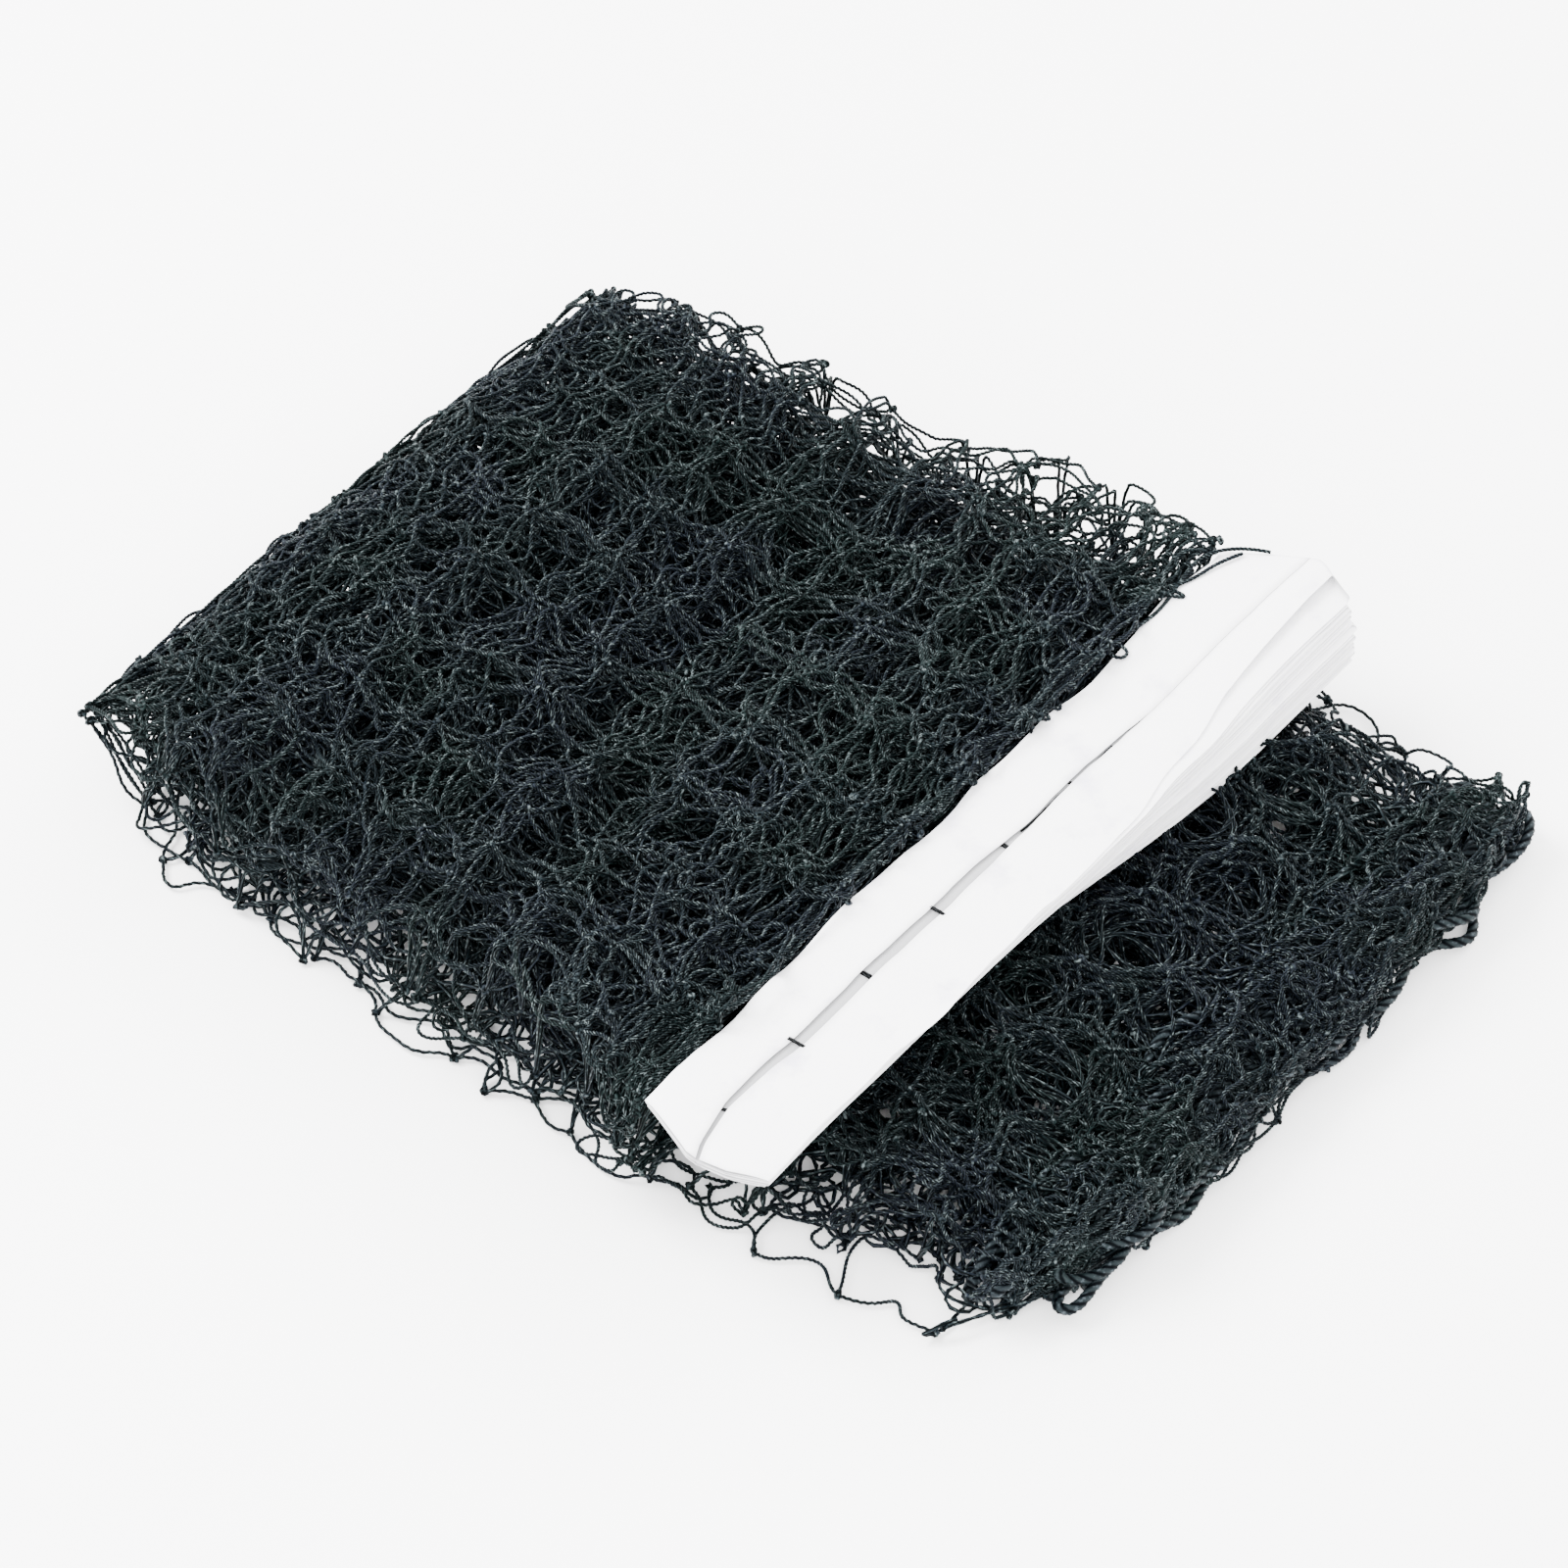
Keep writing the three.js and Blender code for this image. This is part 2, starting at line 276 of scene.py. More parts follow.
def twisted_tubes(points, radius, sides, turn, depth, rng):
    """Vertices, quads, end caps and ridge heights of laid twine along each line of points.

    Every second corner of the section is a ridge and the others are grooves, depth deep as a
    share of the radius, and the section turns by turn radians from ring to ring."""
    lines, rings = points.shape[:2]
    tangent, side, up = tube_frames(points)
    phase = rng.uniform(0, 2 * math.pi, (lines, 1, 1))
    angle = phase + np.arange(rings)[None, :, None] * turn
    angle = angle + np.arange(sides) * (2 * math.pi / sides)
    ridge = (np.arange(sides) % 2 == 0).astype(float)
    reach = radius * (1 - depth * (1 - ridge))
    offset = np.cos(angle)[..., None] * side[:, :, None] + np.sin(angle)[..., None] * up[:, :, None]
    vertices = points[:, :, None] + offset * reach[None, None, :, None]
    corner = np.arange(lines * rings * sides).reshape(lines, rings, sides)
    quads = faces_between(corner[:, :-1], corner[:, 1:])
    caps = np.concatenate([corner[:, 0, ::-1], corner[:, -1]])
    # which corners are ridges: these carry the painted highlight, the grooves the painted shade
    ridges = np.broadcast_to(ridge, (lines, rings, sides)).ravel()
    return vertices.reshape(-1, 3), quads, caps, ridges


def mesh_object(name, parts, material):
    """One smooth-shaded mesh from a list of (vertices, quads, caps, ridges)."""
    vertices = np.concatenate([p[0] for p in parts])
    starts = np.cumsum([0] + [len(p[0]) for p in parts[:-1]])
    loops, totals = [], []
    for (_, quads, caps, _), start in zip(parts, starts):
        for faces in (quads, caps):
            if len(faces):
                loops.append((faces + start).ravel())
                totals.append(np.full(len(faces), faces.shape[1]))
    loops, totals = np.concatenate(loops), np.concatenate(totals)
    mesh = bpy.data.meshes.new(name)
    mesh.vertices.add(len(vertices))
    mesh.vertices.foreach_set("co", vertices.astype(np.float32).ravel())
    mesh.loops.add(len(loops))
    mesh.loops.foreach_set("vertex_index", loops.astype(np.int32))
    mesh.polygons.add(len(totals))
    mesh.polygons.foreach_set("loop_start", (np.cumsum(totals) - totals).astype(np.int32))
    mesh.update(calc_edges=True)
    mesh.polygons.foreach_set("use_smooth", np.ones(len(totals), bool))
    # the painted shade and highlight of each vertex
    tone = mesh.attributes.new("tone", "FLOAT", "POINT")
    tone.data.foreach_set("value", np.concatenate([p[3] for p in parts]).astype(np.float32))
    mesh.materials.append(material)
    made = bpy.data.objects.new(name, mesh)
    bpy.context.scene.collection.objects.link(made)
    return made


def register(piece, body, node):
    """Moves a piece with a body, in place of a CAD node, which it hides."""
    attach(piece, body)
    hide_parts(node)


# ------------------------------------------------------------------ materials

BLACK = (0, 0, 0)
WHITE = (1, 1, 1)
BATCH_SCALE = 16.0            # noise cells to a metre, where two batches of dye meet
GRAIN_SCALE = 480.0           # and in the fibres of the twine, which also place its painted glints
CREASE_SCALE = 30.0           # and in the soft creases of the cloth
THREAD_SCALE = 520.0          # waves to a metre in the cloth's weave


def new_material(name, colour, roughness):
    """A material whose plain values match its nodes' average, and its tree and shader."""
    material = bpy.data.materials.new(name)
    material.use_nodes = True
    material.diffuse_color = (*colour, 1)
    tree = material.node_tree
    shader = tree.nodes["Principled BSDF"]
    shader.inputs["Base Color"].default_value = (*colour, 1)
    shader.inputs["Roughness"].default_value = roughness
    return material, tree, shader


def add_noise(tree, scale, detail, roughness=0.55):
    coordinates = tree.nodes.new("ShaderNodeTexCoord")
    noise = tree.nodes.new("ShaderNodeTexNoise")
    noise.inputs["Scale"].default_value = scale
    noise.inputs["Detail"].default_value = detail
    noise.inputs["Roughness"].default_value = roughness
    tree.links.new(coordinates.outputs["Object"], noise.inputs["Vector"])
    return noise


def add_ramp(tree, source, stops):
    """A colour ramp over source, with stops of (position, colour)."""
    ramp = tree.nodes.new("ShaderNodeValToRGB")
    while len(ramp.color_ramp.elements) < len(stops):
        ramp.color_ramp.elements.new(0.5)
    for element, (position, colour) in zip(ramp.color_ramp.elements, stops):
        element.position = position
        element.color = (*colour, 1)
    tree.links.new(source, ramp.inputs["Fac"])
    return ramp.outputs["Color"]


def add_mix(tree, factor, first, second):
    """A mix of two colours. Each value is a number, a colour or another node's output."""
    mix = tree.nodes.new("ShaderNodeMix")
    mix.data_type = "RGBA"
    for name, value in (("Factor", factor), ("A", first), ("B", second)):
        socket = mix.inputs[name]
        if isinstance(value, (int, float)):
            socket.default_value = value
        elif isinstance(value, tuple):
            socket.default_value = (*value, 1)
        else:
            tree.links.new(value, socket)
    return mix.outputs["Result"]


def add_bump(tree, shader, height, distance, strength):
    bump = tree.nodes.new("ShaderNodeBump")
    bump.inputs["Distance"].default_value = distance
    bump.inputs["Strength"].default_value = strength
    tree.links.new(height, bump.inputs["Height"])
    tree.links.new(bump.outputs["Normal"], shader.inputs["Normal"])


def add_tone(tree):
    """The painted shade and highlight that the mesh carries: on a twine's ridges and grooves, or on
    the cloth's inner face, its turns and its lower layers.
    """
    tone = tree.nodes.new("ShaderNodeAttribute")
    tone.attribute_name = "tone"
    return tone.outputs["Fac"]


def add_range(tree, source, low, high):
    spread = tree.nodes.new("ShaderNodeMapRange")
    spread.inputs["To Min"].default_value = low
    spread.inputs["To Max"].default_value = high
    tree.links.new(source, spread.inputs["Value"])
    return spread.outputs["Result"]


def twine_material(name, green, navy, painted_groove_shade, painted_highlight):
    """Laid twine: painted shade in the grooves, painted highlight on the ridges and in glinting
    specks, and slow drifts between a green and a navy batch.
    """
    material, tree, shader = new_material(name, green, 0.6)
    drift = add_noise(tree, BATCH_SCALE, 2.0)
    batch = add_ramp(tree, drift.outputs["Fac"], [(0.40, green), (0.60, navy)])
    grain = add_noise(tree, GRAIN_SCALE, 2.0)
    # painted glints: bright specks of highlight colour scattered over the fibres
    painted_glints = add_ramp(tree, grain.outputs["Fac"], [(0.53, BLACK), (0.67, WHITE)])
    lit = add_mix(tree, painted_glints, batch, painted_highlight)
    # the ridges take the painted highlight and the grooves the painted shade
    raised = add_ramp(tree, add_tone(tree), [(0.30, BLACK), (0.90, WHITE)])
    colour = add_mix(tree, raised, painted_groove_shade, lit)
    tree.links.new(colour, shader.inputs["Base Color"])
    tree.links.new(add_range(tree, grain.outputs["Fac"], 0.40, 0.70), shader.inputs["Roughness"])
    add_bump(tree, shader, grain.outputs["Fac"], 0.15 * MM, 0.6)
    tree.links.new(add_range(tree, raised, 0.02, 0.15), shader.inputs["Specular IOR Level"])
    shader.inputs["Specular Tint"].default_value = (0.85, 0.97, 1.0, 1)
    return material


def cloth_material():
    """Smooth coated white cloth: a fine close weave under soft creases, with painted lavender shade
    in the creases' hollows.
    """
    white = (0.88, 0.875, 0.895)
    lavender_weave_and_shade = (0.60, 0.58, 0.68)
    grey_lining_and_slit_shade = (0.27, 0.27, 0.28)
    material, tree, shader = new_material("headband_cloth", white, 0.45)
    crease = add_noise(tree, CREASE_SCALE, 5.0, 0.62)
    # painted shade: lavender where the crease noise is low, in the creases' hollows
    crease_painted_shade = add_ramp(tree, crease.outputs["Fac"], [(0.26, lavender_weave_and_shade), (0.44, white)])
    coordinates = tree.nodes.new("ShaderNodeTexCoord")
    threads = []
    for direction in ("X", "Y"):
        wave = tree.nodes.new("ShaderNodeTexWave")
        wave.bands_direction = direction
        wave.inputs["Scale"].default_value = THREAD_SCALE
        wave.inputs["Distortion"].default_value = 0.6
        tree.links.new(coordinates.outputs["Object"], wave.inputs["Vector"])
        threads.append(wave.outputs["Color"])
    weave = add_mix(tree, 0.5, threads[0], threads[1])
    colour = add_mix(tree, add_range(tree, weave, 0.0, 0.06), crease_painted_shade, lavender_weave_and_shade)
    # the inner face is a grey lining, dark enough to also paint the shade in the slit between the
    # flaps
    colour = add_mix(tree, add_tone(tree), colour, grey_lining_and_slit_shade)
    tree.links.new(colour, shader.inputs["Base Color"])
    height = add_mix(tree, 0.08, crease.outputs["Fac"], weave)
    tree.links.new(add_range(tree, crease.outputs["Fac"], 0.38, 0.55), shader.inputs["Roughness"])
    add_bump(tree, shader, height, 2.4 * MM, 0.6)
    shader.inputs["Sheen Weight"].default_value = 0.15
    return material


# ------------------------------------------------------------------ where every knot goes

def outline(node):
    """The left and the right edge of a netting node as functions of y."""
    points = np.array([v.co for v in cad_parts[node].data.vertices])
    ys = np.unique(np.round(points[:, 1], 4))
    low = [points[np.abs(points[:, 1] - y) < 1e-4, 0].min() for y in ys]
    high = [points[np.abs(points[:, 1] - y) < 1e-4, 0].max() for y in ys]
    return lambda y: np.interp(y, ys, low), lambda y: np.interp(y, ys, high)


LEFT_X, RIGHT_X = outline("netting_lower_half")
# millimetres from the headband to each layer's first row, which the top layers hug
FIRST_ROW_SPREAD = RNG.uniform(0, 16, LAYERS)
FIRST_ROW_SPREAD[-4:] = (5, 2, 0, 1)
# how alike the layers lie, row by row: most of all where they hang over the rope
LIKENESS = np.interp(np.arange(LAST_ROW + 1), (0, 17, 20, 24), (0.30, 0.30, 0.65, 0.80))
BUNCHING = RNG.uniform(0.2, 1.0, LAYERS)      # how far each layer is pulled straight at the fold
ROW_SWAY = RNG.uniform(-MOST_SWAY, MOST_SWAY, LAYERS) * MM


def layer_of(column):
    return np.minimum(column // LAYER_MESHES, LAYERS - 1)


def row_y(layer):
    """Where each row of a layer's knots lies, from the headband round the fold to the rope.

    The layers that hang down in front of the rope have their last row but one on top of it."""
    first = BAND_EDGE_Y + (3 + FIRST_ROW_SPREAD[layer]) * MM
    fold = HINGE_Y + 4 * MM
    last = float(rope_place(np.array(LAYERS - 1 - layer))[0])
    lower_rows = LAST_ROW - FOLD_ROW
    if layer < FRONT_LAYERS:
        over_rope = ROPE_FIRST_Y + 7 * MM
        last = (over_rope - fold) * lower_rows / (lower_rows - 1) + fold
    even_share = np.arange(FOLD_ROW + 1) / FOLD_ROW
    upper_share = even_share - 0.05 * np.sin(2 * math.pi * even_share)
    even = fold + (last - fold) * (np.arange(1, lower_rows + 1) / lower_rows) ** 1.13
    stretched = fold - STRETCHED_PITCH * (np.arange(1, STRETCHED_ROWS + 1) - 0.35)
    rest = np.linspace(stretched[-1], last, lower_rows - STRETCHED_ROWS + 1)[1:]
    bunched = np.concatenate([stretched, rest])
    lower = even + (bunched - even) * BUNCHING[layer]
    ys = np.concatenate([first + (fold - first) * upper_share, lower])
    from_fold = np.arange(LAST_ROW + 1) - FOLD_ROW
    span = np.where(from_fold < 0, FOLD_ROW, lower_rows)
    return ys + ROW_SWAY[layer] * np.sin(math.pi * from_fold / span)


def layered_noise(shape, likeness):
    """Noise (layer, ...) in which every layer repeats most of the one below it."""
    noise = RNG.normal(size=(LAYERS + 1, *shape))
    for layer in range(1, LAYERS + 1):
        noise[layer] = likeness * noise[layer - 1] + np.sqrt(1 - likeness ** 2) * noise[layer]
    return noise


def turn_edges(ys):
    """The two edges (layer, row) that each layer's zigzag turns on."""
    rows = np.arange(LAST_ROW + 1)
    gathered = smooth_step((rows + 0.5) / 3.5) * (1 - 0.65 * np.exp(-((rows - FOLD_ROW) / 3) ** 2))
    edges = []
    for limit, inward in ((LEFT_X, 1), (RIGHT_X, -1)):
        inset = layered_noise((1,), 0.6) * INSET_SCATTER + EDGE_INSET
        wander = layered_noise((6,), 0.8)
        stations = np.linspace(0, 5, LAST_ROW + 1)
        smooth_wander = np.stack([np.interp(stations, range(6), w) for w in wander])
        inset = np.clip(inset + smooth_wander * INSET_WANDER, *INSET_RANGE) * gathered
        edges.append(limit(ys) + inward * inset[:LAYERS])
    start, length = 20 * MM, 100 * MM
    at_band = smooth_step((start - ys) / length) * (rows < FOLD_ROW)
    edges[1] -= BAND_END_INSET * at_band
    return edges


def limit_spacing(knots, pinned):
    """Pulls knots together until no leg is longer than its twine, and apart where they crowd."""
    kept = knots[:, pinned].copy()
    longest = 0.93 * LEG
    shortest = 0.22 * LEG
    passes = 40
    share = 0.45
    for _ in range(passes):
        for axis in (0, 1):
            ahead = knots[1:] if axis == 0 else knots[:, 1:]
            behind = knots[:-1] if axis == 0 else knots[:, :-1]
            gap = ahead - behind
            length = np.maximum(np.linalg.norm(gap, axis=-1, keepdims=True), 1e-6)
            move = share * gap * (length - np.clip(length, shortest, longest)) / length
            ahead -= move
            behind += move
        knots[:, pinned] = kept
    return knots


def place_in_layer():
    """Each column's layer, and its place in it counted from the left."""
    columns = np.arange(COLUMNS)
    layers = layer_of(columns)
    step = columns - layers * LAYER_MESHES
    return layers, np.where(layers % 2 == 0, step, LAYER_MESHES - step)


def knot_places():
    """Plan places (column, row, 2) of all knots, crumpled but with no leg overstretched."""
    ys = np.stack([row_y(layer) for layer in range(LAYERS)])
    left, right = turn_edges(ys)
    layers, places = place_in_layer()
    share = (places / LAYER_MESHES)[:, None]
    knots = np.empty((COLUMNS, LAST_ROW + 1, 2))
    knots[..., 0] = left[layers] * (1 - share) + right[layers] * share
    knots[..., 1] = ys[layers]
    scatter = np.ones((LAST_ROW + 1, 2))
    scatter[:4] = np.array([0.12, 0.35, 0.5, 0.75])[:, None]
    scatter[[FOLD_ROW - 1, FOLD_ROW + 1]] = 0.7
    scatter[FOLD_ROW] = (0.4, 0.12)       # the fold's knots stray more along it than across it
    scatter[LAST_ROW] = 0.45
    depth = np.broadcast_to(layers[:, None, None] * LAYER_STEP, (*knots.shape[:2], 1))
    drift_places = np.concatenate([knots, depth], axis=-1)
    crumple = layered_noise((LAYER_MESHES + 1, LAST_ROW + 1, 2), LIKENESS[:, None])
    for axis in (0, 1):
        drift = wave_noise(drift_places, DRIFT_WAVELENGTH, RNG) * CRUMPLE_DRIFT
        knots[..., axis] += drift * scatter[:, axis]
        knots[..., axis] += crumple[layers, places][..., axis] * CRUMPLE_SCATTER * scatter[:, axis]
    return limit_spacing(knots, [0, FOLD_ROW])


def fold_knots():
    """Places (y, z) of the knots that lie round the fold edge, outer layers further out."""
    columns = np.arange(COLUMNS)
    layers = layer_of(columns)
    reach = (2 + 8 * (layers + 0.5) / LAYERS) * MM
    columns_to_a_wave = 14.0
    most_swing = 1.15          # radians above or below the hinge
    swing = wave_noise(columns[:, None] * 1.0, columns_to_a_wave, RNG) * 0.4
    swing = swing + RNG.normal(size=COLUMNS) * 0.35
    swing = np.clip(swing, -most_swing, most_swing)
    return HINGE_Y + reach * np.cos(swing), HINGE_Z + 1.5 * reach * np.sin(swing)


def rope_place(run):
    """The middle (y, z) of one or more runs of the rope in its bundle."""
    row = run // ROPE_COLUMNS
    place = run % ROPE_COLUMNS
    column = np.where(row % 2 == 0, place, ROPE_COLUMNS - 1 - place)
    return ROPE_FIRST_Y + ROPE_PITCH_Y * column, ROPE_FIRST_Z + ROPE_PITCH_Z * row


def front_knots():
    """Places (y, z) of the last knots: on the rope inside, or hanging in front of its bundle."""
    layers = layer_of(np.arange(COLUMNS))
    hanging = layers < FRONT_LAYERS
    drop = (layers + 0.5) / FRONT_LAYERS
    rope_y, rope_z = rope_place(LAYERS - 1 - layers)
    y = np.where(hanging, ROPE_FIRST_Y - (5 + 3 * drop) * MM, rope_y)
    z = np.where(hanging, (33 - 27 * drop) * MM, rope_z + ROPE_RADIUS)
    y = y + RNG.normal(size=COLUMNS) * 1.5 * MM
    z = z + np.where(hanging, RNG.normal(size=COLUMNS) * 4 * MM, 0)
    return y, np.maximum(z, 2.5 * MM)


# ------------------------------------------------------------------ the shape of every leg

WAVE_SHARES = (1.0, 0.85, 0.6, 0.3)      # of half a wave, one, one and a half, and two


def buckled_shapes(chord_share, weight):
    """Plane curves (leg, sample, 2) of unit length, from (0, 0) to (chord_share, 0).

    A leg's heading along its length is a mix of a few waves, and the mix is scaled until the
    ends are as far apart as the knots are."""
    count = len(chord_share)
    weight = weight * WAVE_SHARES
    weight /= np.linalg.norm(weight, axis=1, keepdims=True)

    def headings(samples):
        place = (np.arange(samples) + 0.5) / samples
        return weight @ np.stack([np.cos(math.pi * k * place) for k in (1, 2, 3, 4)])

    rough = headings(16)
    low = np.zeros(count)
    high = np.full(count, 2.7)
    for _ in range(18):
        middle = (low + high) / 2
        angle = middle[:, None] * rough
        reach = np.hypot(np.cos(angle).mean(1), np.sin(angle).mean(1))
        low = np.where(reach > chord_share, middle, low)
        high = np.where(reach > chord_share, high, middle)
    angle = high[:, None] * headings(SAMPLES - 1)
    steps = np.stack([np.cos(angle), np.sin(angle)], axis=-1) / (SAMPLES - 1)
    path = np.concatenate([np.zeros((count, 1, 2)), np.cumsum(steps, axis=1)], axis=1)
    end = path[:, -1]
    turned = np.stack([
        path[..., 0] * end[:, None, 0] + path[..., 1] * end[:, None, 1],
        path[..., 1] * end[:, None, 0] - path[..., 0] * end[:, None, 1],
    ], axis=-1)
    return turned / (end ** 2).sum(1)[:, None, None]


def lay_legs(starts, ends, weights, normals, bulge=0.0, tautness=0.2):
    """Buckled curves (..., sample, 3) between knots, in planes square to normals. They are at
    least this taut: the knots are no closer together than this share of the curve's length."""
    shape = starts.shape[:-1]
    starts = starts.reshape(-1, 3)
    ends = ends.reshape(-1, 3)
    weights = weights.reshape(-1, 4)
    normals = np.broadcast_to(normals, (*shape, 3)).reshape(-1, 3)
    chord = ends - starts
    length = np.linalg.norm(chord, axis=1)
    curve = buckled_shapes(np.clip(length / LEG, tautness, 0.995), weights)
    side = unit(np.cross(normals, chord)) * length[:, None]
    points = starts[:, None] + curve[..., :1] * chord[:, None] + curve[..., 1:] * side[:, None]
    arch = np.sin(np.linspace(0, math.pi, SAMPLES))[None, :, None]
    points += arch * bulge * normals[:, None]
    return points.reshape(*shape, SAMPLES, 3)


def leg_weights():
    """How each leg buckles: alike from layer to layer, as layers that lie on each other are.

    The zigzag runs back in every second layer, so its legs along x are mirrored end to end."""
    layers, places = place_in_layer()
    along_x = layered_noise((LAYER_MESHES, LAST_ROW + 1, 4), LIKENESS[:, None])
    along_y = layered_noise((LAYER_MESHES + 1, LAST_ROW, 4), LIKENESS[:-1, None])
    backwards = layers[:-1] % 2 == 1
    x_weights = along_x[layers[:-1], np.minimum(places[:-1], places[1:]).clip(0, LAYER_MESHES - 1)]
    x_weights[backwards] *= (-1, 1, -1, 1)
    return x_weights, along_y[layers, places]


def draw_in(legs):
    """Keeps loops from reaching far beyond the outline."""
    x, y = legs[..., 0], legs[..., 1]
    for limit, side in ((LEFT_X(y), -1), (RIGHT_X(y), 1)):
        beyond = np.maximum(side * (x - limit), 0)
        x -= side * (beyond - MOST_BEYOND * np.tanh(beyond / MOST_BEYOND))


def clump_waves(plan, wavelength, rng):
    """A smooth random pattern of a few plane waves, and its slope in the plan."""
    pattern = np.zeros(plan.shape[:-1])
    slope = np.zeros(plan.shape)
    for _ in range(CLUMP_WAVES):
        direction = unit(rng.normal(size=2) * (0.75, 1.0))
        turns = 2 * math.pi / (wavelength * rng.uniform(0.7, 1.4) * (1 + 0.7 * abs(direction[0])))
        phase = plan @ direction * turns + rng.uniform(0, 2 * math.pi)
        pattern += np.sin(phase)
        slope += (turns * np.cos(phase))[..., None] * direction
    return pattern, slope


def clump(legs):
    """Draws strands together, as crumpled netting clings to itself. Beyond the headband it lies
    in thick ropes, along the lines where a pattern is zero, with openings between them."""
    shift = CLUMP_SHIFT[layer_of(np.arange(len(legs)))]
    plan = legs[..., :2] + shift.reshape(len(legs), *[1] * (legs.ndim - 2), 2)
    rng = np.random.default_rng(31)
    _, slope = clump_waves(plan, HEAP_CLUMPS, rng)
    moved = slope * HEAP_CLUMPING * (HEAP_CLUMPS / (2 * math.pi)) ** 2 / math.sqrt(CLUMP_WAVES)
    pattern, slope = clump_waves(plan, APRON_CLUMPS, rng)
    usual = (2 * math.pi / APRON_CLUMPS) ** 2 * CLUMP_WAVES / 2
    to_line = -(pattern / ((slope ** 2).sum(-1) + 0.35 * usual))[..., None] * slope
    under_band, ease = BAND_BOX[0][1] + 16 * MM, 22 * MM
    beyond_band = smooth_step((under_band - plan[..., 1]) / ease)[..., None]
    legs[..., :2] += moved * (1 - beyond_band) + to_line * APRON_CLUMPING * beyond_band


# ------------------------------------------------------------------ a height field to lay strands on

CELL = 1 * MM
DRAPE_SLOPE = 0.4             # how steeply a strand falls off the one that it lies on
SETTLING_GROUPS = 5           # a layer's strands are laid in so many goes
SQUEEZE_RANGE = (0.15, 1.3)
GRID_CORNER = np.array([-0.270, -0.290])
GRID_SIZE = (540, 580)
THIN = [(dx, dy) for dx in (-1, 0, 1) for dy in (-1, 0, 1)]
WIDE = [(dx, dy) for dx in range(-3, 4) for dy in range(-3, 4) if dx * dx + dy * dy < 10]
STRAND_FOOT = [(dx, dy, (math.sqrt(2.25 - dx * dx - dy * dy) - 0.55) * MM) for dx, dy in THIN]
KNOT_FOOT = [(dx, dy, (1.5 - 0.2 * (dx * dx + dy * dy)) * MM) for dx, dy in WIDE]
ROPE_FOOT = [(dx, dy, (2.5 - 0.22 * (dx * dx + dy * dy)) * MM) for dx, dy in WIDE]


def cells(points):
    place = np.rint((points[..., :2] - GRID_CORNER) / CELL).astype(int)
    return (
        np.clip(place[..., 0], 3, GRID_SIZE[0] - 4),
        np.clip(place[..., 1], 3, GRID_SIZE[1] - 4),
    )


def support(field, points, foot):
    """The lowest height at which something of this footprint clears the field."""
    i, j = cells(points)
    found = np.full(i.shape, -1.0)
    for dx, dy, lift in foot:
        np.maximum(found, field[i + dx, j + dy] + lift, out=found)
    return found


def stamp(field, points, foot):
    i, j = cells(points)
    for dx, dy, lift in foot:
        np.maximum.at(field, (i + dx, j + dy), points[..., 2] + lift)


def drape(heights, slope):
    """Raises each line of heights so that it never falls faster than slope, then softens it."""
    drop = slope * LEG / (SAMPLES - 1)
    for i in range(1, heights.shape[1]):
        np.maximum(heights[:, i], heights[:, i - 1] - drop, out=heights[:, i])
    for i in range(heights.shape[1] - 2, -1, -1):
        np.maximum(heights[:, i], heights[:, i + 1] - drop, out=heights[:, i])
    for _ in range(5):
        padded = np.pad(heights, ((0, 0), (1, 1)), mode="edge")
        heights = (padded[:, :-2] + 2 * heights + padded[:, 2:]) / 4
    return heights


FROM_END = np.minimum(np.arange(SAMPLES), np.arange(SAMPLES)[::-1])
END_BLEND = smooth_step(FROM_END / 6.0)


def settle_legs(field, legs, start_z, end_z):
    """Lays legs on the field group by group, with their ends at the knots' heights."""
    order = RNG.integers(0, SETTLING_GROUPS, len(legs))
    share = np.linspace(0, 1, SAMPLES)
    between = start_z[:, None] * (1 - share) + end_z[:, None] * share
    for group in range(SETTLING_GROUPS):
        chosen = np.flatnonzero(order == group)
        points = legs[chosen]
        heights = drape(support(field, points, STRAND_FOOT), DRAPE_SLOPE)
        points[..., 2] = between[chosen] * (1 - END_BLEND) + heights * END_BLEND
        stamp(field, points[:, 2:-2], STRAND_FOOT)
        legs[chosen] = points
    return legs


def grid_places():
    xs = GRID_CORNER[0] + np.arange(GRID_SIZE[0]) * CELL
    ys = GRID_CORNER[1] + np.arange(GRID_SIZE[1]) * CELL
    return np.meshgrid(xs, ys, indexing="ij")


def heap_top(node, outside):
    """The CAD heap's top as a height field, with one height outside it."""
    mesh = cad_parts[node].data
    tree = BVHTree.FromPolygons(
        [v.co[:] for v in mesh.vertices], [p.vertices[:] for p in mesh.polygons]
    )
    coarse = 5
    rows = GRID_SIZE[0] // coarse
    columns = GRID_SIZE[1] // coarse
    heights = np.full((rows, columns), outside)
    for i in range(rows):
        for j in range(columns):
            x, y = GRID_CORNER + np.array([i + 0.5, j + 0.5]) * coarse * CELL
            hit = tree.ray_cast(Vector((x, y, 1.0)), Vector((0, 0, -1)))[0]
            if hit is not None:
                heights[i, j] = hit.z
    return blur(np.kron(heights, np.ones((coarse, coarse))), 5)


def press(groups, field, base, allowed):
    """Squeezes or loosens a heap above base so that its top follows allowed."""
    made = blur(np.maximum(field - base, 1 * MM), 14)
    wanted = np.maximum(allowed - base, 3 * MM)
    factor = blur(np.clip(wanted / made, *SQUEEZE_RANGE), 8)
    for points in groups:
        i, j = cells(points)
        low = base[i, j]
        pressed = low + (points[..., 2] - low) * factor[i, j]
        highest = np.maximum(allowed[i, j], low) + LOOSE_TOP
        points[..., 2] = np.clip(pressed, REST_HEIGHT, highest)
    return base + (field - base) * factor


# ------------------------------------------------------------------ smooth lines of twine and rope

